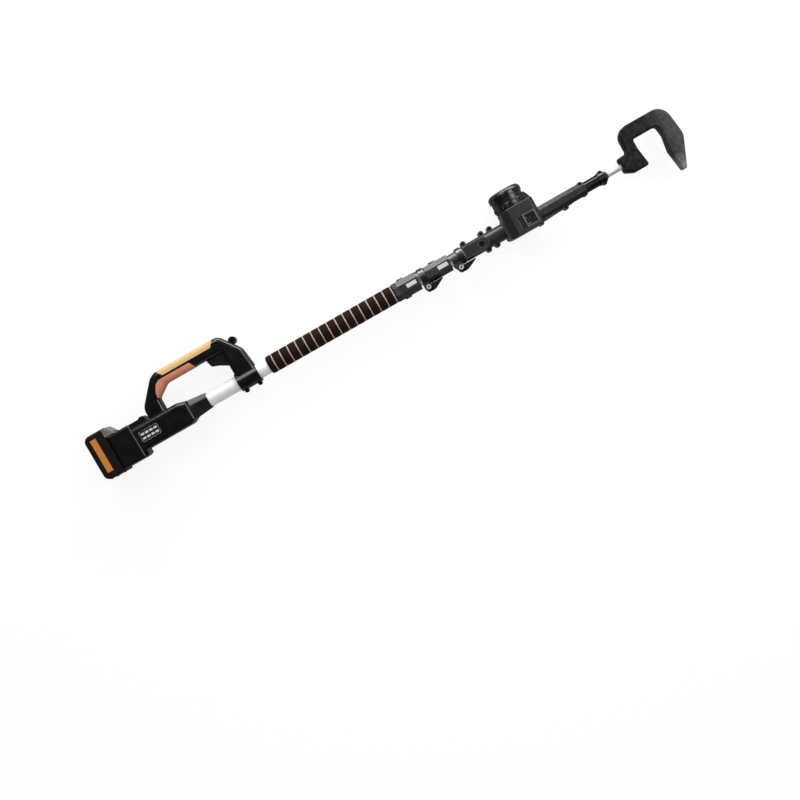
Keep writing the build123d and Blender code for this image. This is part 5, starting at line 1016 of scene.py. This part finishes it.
# Hook: the cast jaw that is laid over a branch, held on the rod by two grub screws.
# Aluminium under a textured charcoal powder coat, rubbed paler at the tip and along the mouth.
HOOK_COAT = "#0B0B0D"
HOOK_PATCH = "#242429"
HOOK_WEAR_AND_HIGHLIGHT = "#868688"
HOOK_EDGE_MM = 1.6
TIP_WORN = 0.008  # heights above the hook's lowest point where the wear is full, and where it ends
TIP_FRESH = 0.045
JAW_BACK = 0.06  # the jaw's start, tip and nose, measured back from the hook's front
JAW_TIP = 0.045
JAW_NOSE = 0.01
JAW_WORN = 0.28  # how far the jaw is rubbed towards its nose
textured_coat, tree, shader, place = start_finish(
    "textured coat on cast hook, charcoal", {"Specular IOR Level": 0.15}
)
low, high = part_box("hook")
# The coat's orange peel is about 1 mm across, drawn at 3 mm; the coat itself mottles over 8 mm.
peel = add_node(tree, "ShaderNodeTexNoise", {"Vector": place, "Scale": 1000 / 3, "Detail": 3.0})
mottle = add_node(tree, "ShaderNodeTexNoise", {"Vector": place, "Scale": 1000 / 8, "Detail": 5.0})
clumped = add_node(
    tree,
    "ShaderNodeMapRange",
    {"Value": mottle.outputs["Fac"], "From Min": 0.46, "From Max": 0.62},
)
coat = add_node(
    tree,
    "ShaderNodeMix",
    {0: clumped.outputs[0], 6: linear(HOOK_COAT), 7: linear(HOOK_PATCH)},
    data_type="RGBA",
)
gloss = add_node(
    tree,
    "ShaderNodeMapRange",
    {"Value": mottle.outputs["Fac"], "To Min": 0.38, "To Max": 0.6},
)
skin = add_node(
    tree,
    "ShaderNodeBump",
    {"Strength": 0.5, "Distance": 0.0007, "Height": peel.outputs["Fac"]},
)
set_inputs(
    shader,
    {"Base Color": coat.outputs[2], "Roughness": gloss.outputs[0], "Normal": skin.outputs[0]},
)
# it wears at its tip and a little along the jaw, and is paler along its edges, partly wear and partly a
# painted edge highlight, all in patches
axes = add_node(tree, "ShaderNodeSeparateXYZ", {0: place})
tip = add_node(
    tree,
    "ShaderNodeMapRange",
    {"Value": axes.outputs["Y"], "From Min": low.y + TIP_FRESH, "From Max": low.y + TIP_WORN},
)
jaw = add_node(
    tree,
    "ShaderNodeMapRange",
    {"Value": axes.outputs["X"], "From Min": high.x - JAW_BACK, "From Max": high.x - JAW_TIP},
)
front = add_node(
    tree,
    "ShaderNodeMapRange",
    {"Value": axes.outputs["X"], "From Min": high.x - JAW_BACK, "From Max": high.x - JAW_NOSE,
     "To Max": JAW_WORN},
)
patchy = add_node(
    tree,
    "ShaderNodeMapRange",
    {"Value": mottle.outputs["Fac"], "From Min": 0.3, "From Max": 0.7, "To Min": 0.55, "To Max": 1.0},
)
wear_and_highlight = add_node(tree, "ShaderNodeMath", {0: tip.outputs[0], 1: jaw.outputs[0]}, operation="MULTIPLY")
for pale_place in (front.outputs[0], edge_wear_highlight_mask(tree, HOOK_EDGE_MM)):
    wear_and_highlight = add_node(tree, "ShaderNodeMath", {0: wear_and_highlight.outputs[0], 1: pale_place}, operation="MAXIMUM")
wear_and_highlight = add_node(tree, "ShaderNodeMath", {0: wear_and_highlight.outputs[0], 1: patchy.outputs[0]}, operation="MULTIPLY")
lay_over(tree, shader, wear_and_highlight.outputs[0], HOOK_WEAR_AND_HIGHLIGHT)
dress(textured_coat, "hook")

# Floor: the studio's white table that the tool lies on.
# It shows white to the lens and grey to polished metal, and keeps a faint soft shadow under the tool.
FLOOR_HALF = 20.0
FLOOR_DROP = 0.0002  # below the tool
FLOOR_GREY = "#7A7A7A"
FLOOR_LEVELS = {"room": 0.3, "mirrored": 0.15, "lens": 0.86}


def ray_levels(tree, room, mirrored, lens):
    """A glow with one strength for the room, one for what polished faces mirror and one for the lens."""
    path = add_node(tree, "ShaderNodeLightPath")
    in_mirror = add_node(
        tree,
        "ShaderNodeMath",
        {0: path.outputs["Is Glossy Ray"], 1: mirrored - room, 2: room},
        operation="MULTIPLY_ADD",
    )
    strength = add_node(
        tree,
        "ShaderNodeMath",
        {0: path.outputs["Is Camera Ray"], 1: lens - room, 2: in_mirror.outputs[0]},
        operation="MULTIPLY_ADD",
    )
    return strength.outputs[0]


floor_z = cad_box[0][2] - FLOOR_DROP
floor_mesh = bpy.data.meshes.new("table_top")
floor_mesh.from_pydata(
    [(-FLOOR_HALF, -FLOOR_HALF, floor_z), (FLOOR_HALF, -FLOOR_HALF, floor_z),
     (FLOOR_HALF, FLOOR_HALF, floor_z), (-FLOOR_HALF, FLOOR_HALF, floor_z)],
    [],
    [(0, 1, 2, 3)],
)
floor = bpy.data.objects.new("table_top", floor_mesh)
bpy.context.scene.collection.objects.link(floor)
white_table = bpy.data.materials.new("white table")
white_table.use_nodes = True
tree = white_table.node_tree
tree.nodes.clear()
glow = add_node(tree, "ShaderNodeEmission", {"Strength": ray_levels(tree, **FLOOR_LEVELS)})
matt = add_node(tree, "ShaderNodeBsdfDiffuse", {"Color": linear(FLOOR_GREY)})
both = add_node(tree, "ShaderNodeAddShader", {0: glow.outputs[0], 1: matt.outputs[0]})
add_node(tree, "ShaderNodeOutputMaterial", {"Surface": both.outputs[0]})
floor_mesh.materials.append(white_table)

# Studio light: a long soft box low beyond the hand loop, two soft lamps high on that side, a wide fill
# across from them and a dim room that polished faces mirror dimmer still, which keeps them dark.
# The low box draws pale lines along the upward fillets and facets; the flat black faces stay dark.
IMAGE_TURN = math.radians(29.722)
IMAGE_UP = Vector((math.sin(IMAGE_TURN), math.cos(IMAGE_TURN), 0.0))
IMAGE_RIGHT = Vector((IMAGE_UP.y, -IMAGE_UP.x, 0.0))
TOOL_MIDDLE = Vector((0.65, 0.0, 0.0))
ROOM_LEVELS = {"room": 0.176, "mirrored": 0.056, "lens": 0.906}


def soft_box(name, right, up, height, size, power):
    """A rectangular lamp that faces the tool's middle, placed from it along the image and above the table."""
    lamp = bpy.data.lights.new(name, "AREA")
    lamp.shape = "RECTANGLE"
    lamp.size = size[0]
    lamp.size_y = size[1]
    lamp.energy = power
    box = bpy.data.objects.new(name, lamp)
    box.location = TOOL_MIDDLE + up * IMAGE_UP + right * IMAGE_RIGHT + Vector((0.0, 0.0, height))
    box.rotation_euler = (TOOL_MIDDLE - box.location).to_track_quat("-Z", "Y").to_euler()
    bpy.context.scene.collection.objects.link(box)
    return box


soft_box("low_box", right=0.0, up=1.9, height=0.5, size=(3.2, 0.85), power=58.0)
soft_box("high_lamp", right=-1.2, up=1.2, height=1.9, size=(1.2, 1.2), power=18.0)
soft_box("far_lamp", right=1.5, up=0.9, height=1.8, size=(1.0, 1.0), power=15.0)
near_fill = soft_box("near_fill", right=0.0, up=-2.2, height=2.0, size=(4.0, 2.4), power=24.0)
near_fill.visible_glossy = False  # polarised, so it lights colours and leaves no shine
world = bpy.data.worlds.new("studio")
bpy.context.scene.world = world
world.use_nodes = True
tree = world.node_tree
tree.nodes.clear()
room = add_node(
    tree,
    "ShaderNodeBackground",
    {"Color": linear("#FFFFFF"), "Strength": ray_levels(tree, **ROOM_LEVELS)},
)
add_node(tree, "ShaderNodeOutputWorld", {"Surface": room.outputs[0]})

# Camera: above the table, looking almost straight down, turned so that the pole climbs to the upper right.
# Its place, aim and focal length give the photograph's view and frame.
LENS_AT = Vector((0.62356, -0.09542, 2.2))
AIMED_AT = Vector((0.62489, -0.20402, 0.0))
LENS_MM = 45.886
SENSOR_MM = 36.0
lens = bpy.data.cameras.new("camera")
lens.lens = LENS_MM
lens.sensor_width = SENSOR_MM
camera = bpy.data.objects.new("camera", lens)
backward = (LENS_AT - AIMED_AT).normalized()
rightward = IMAGE_UP.cross(backward).normalized()
upward = backward.cross(rightward)
turn = Matrix((rightward, upward, backward)).transposed().to_4x4()
camera.matrix_world = Matrix.Translation(LENS_AT) @ turn
bpy.context.scene.collection.objects.link(camera)
bpy.context.scene.camera = camera
bpy.context.scene.view_settings.view_transform = "Standard"

bpy.context.view_layer.update()
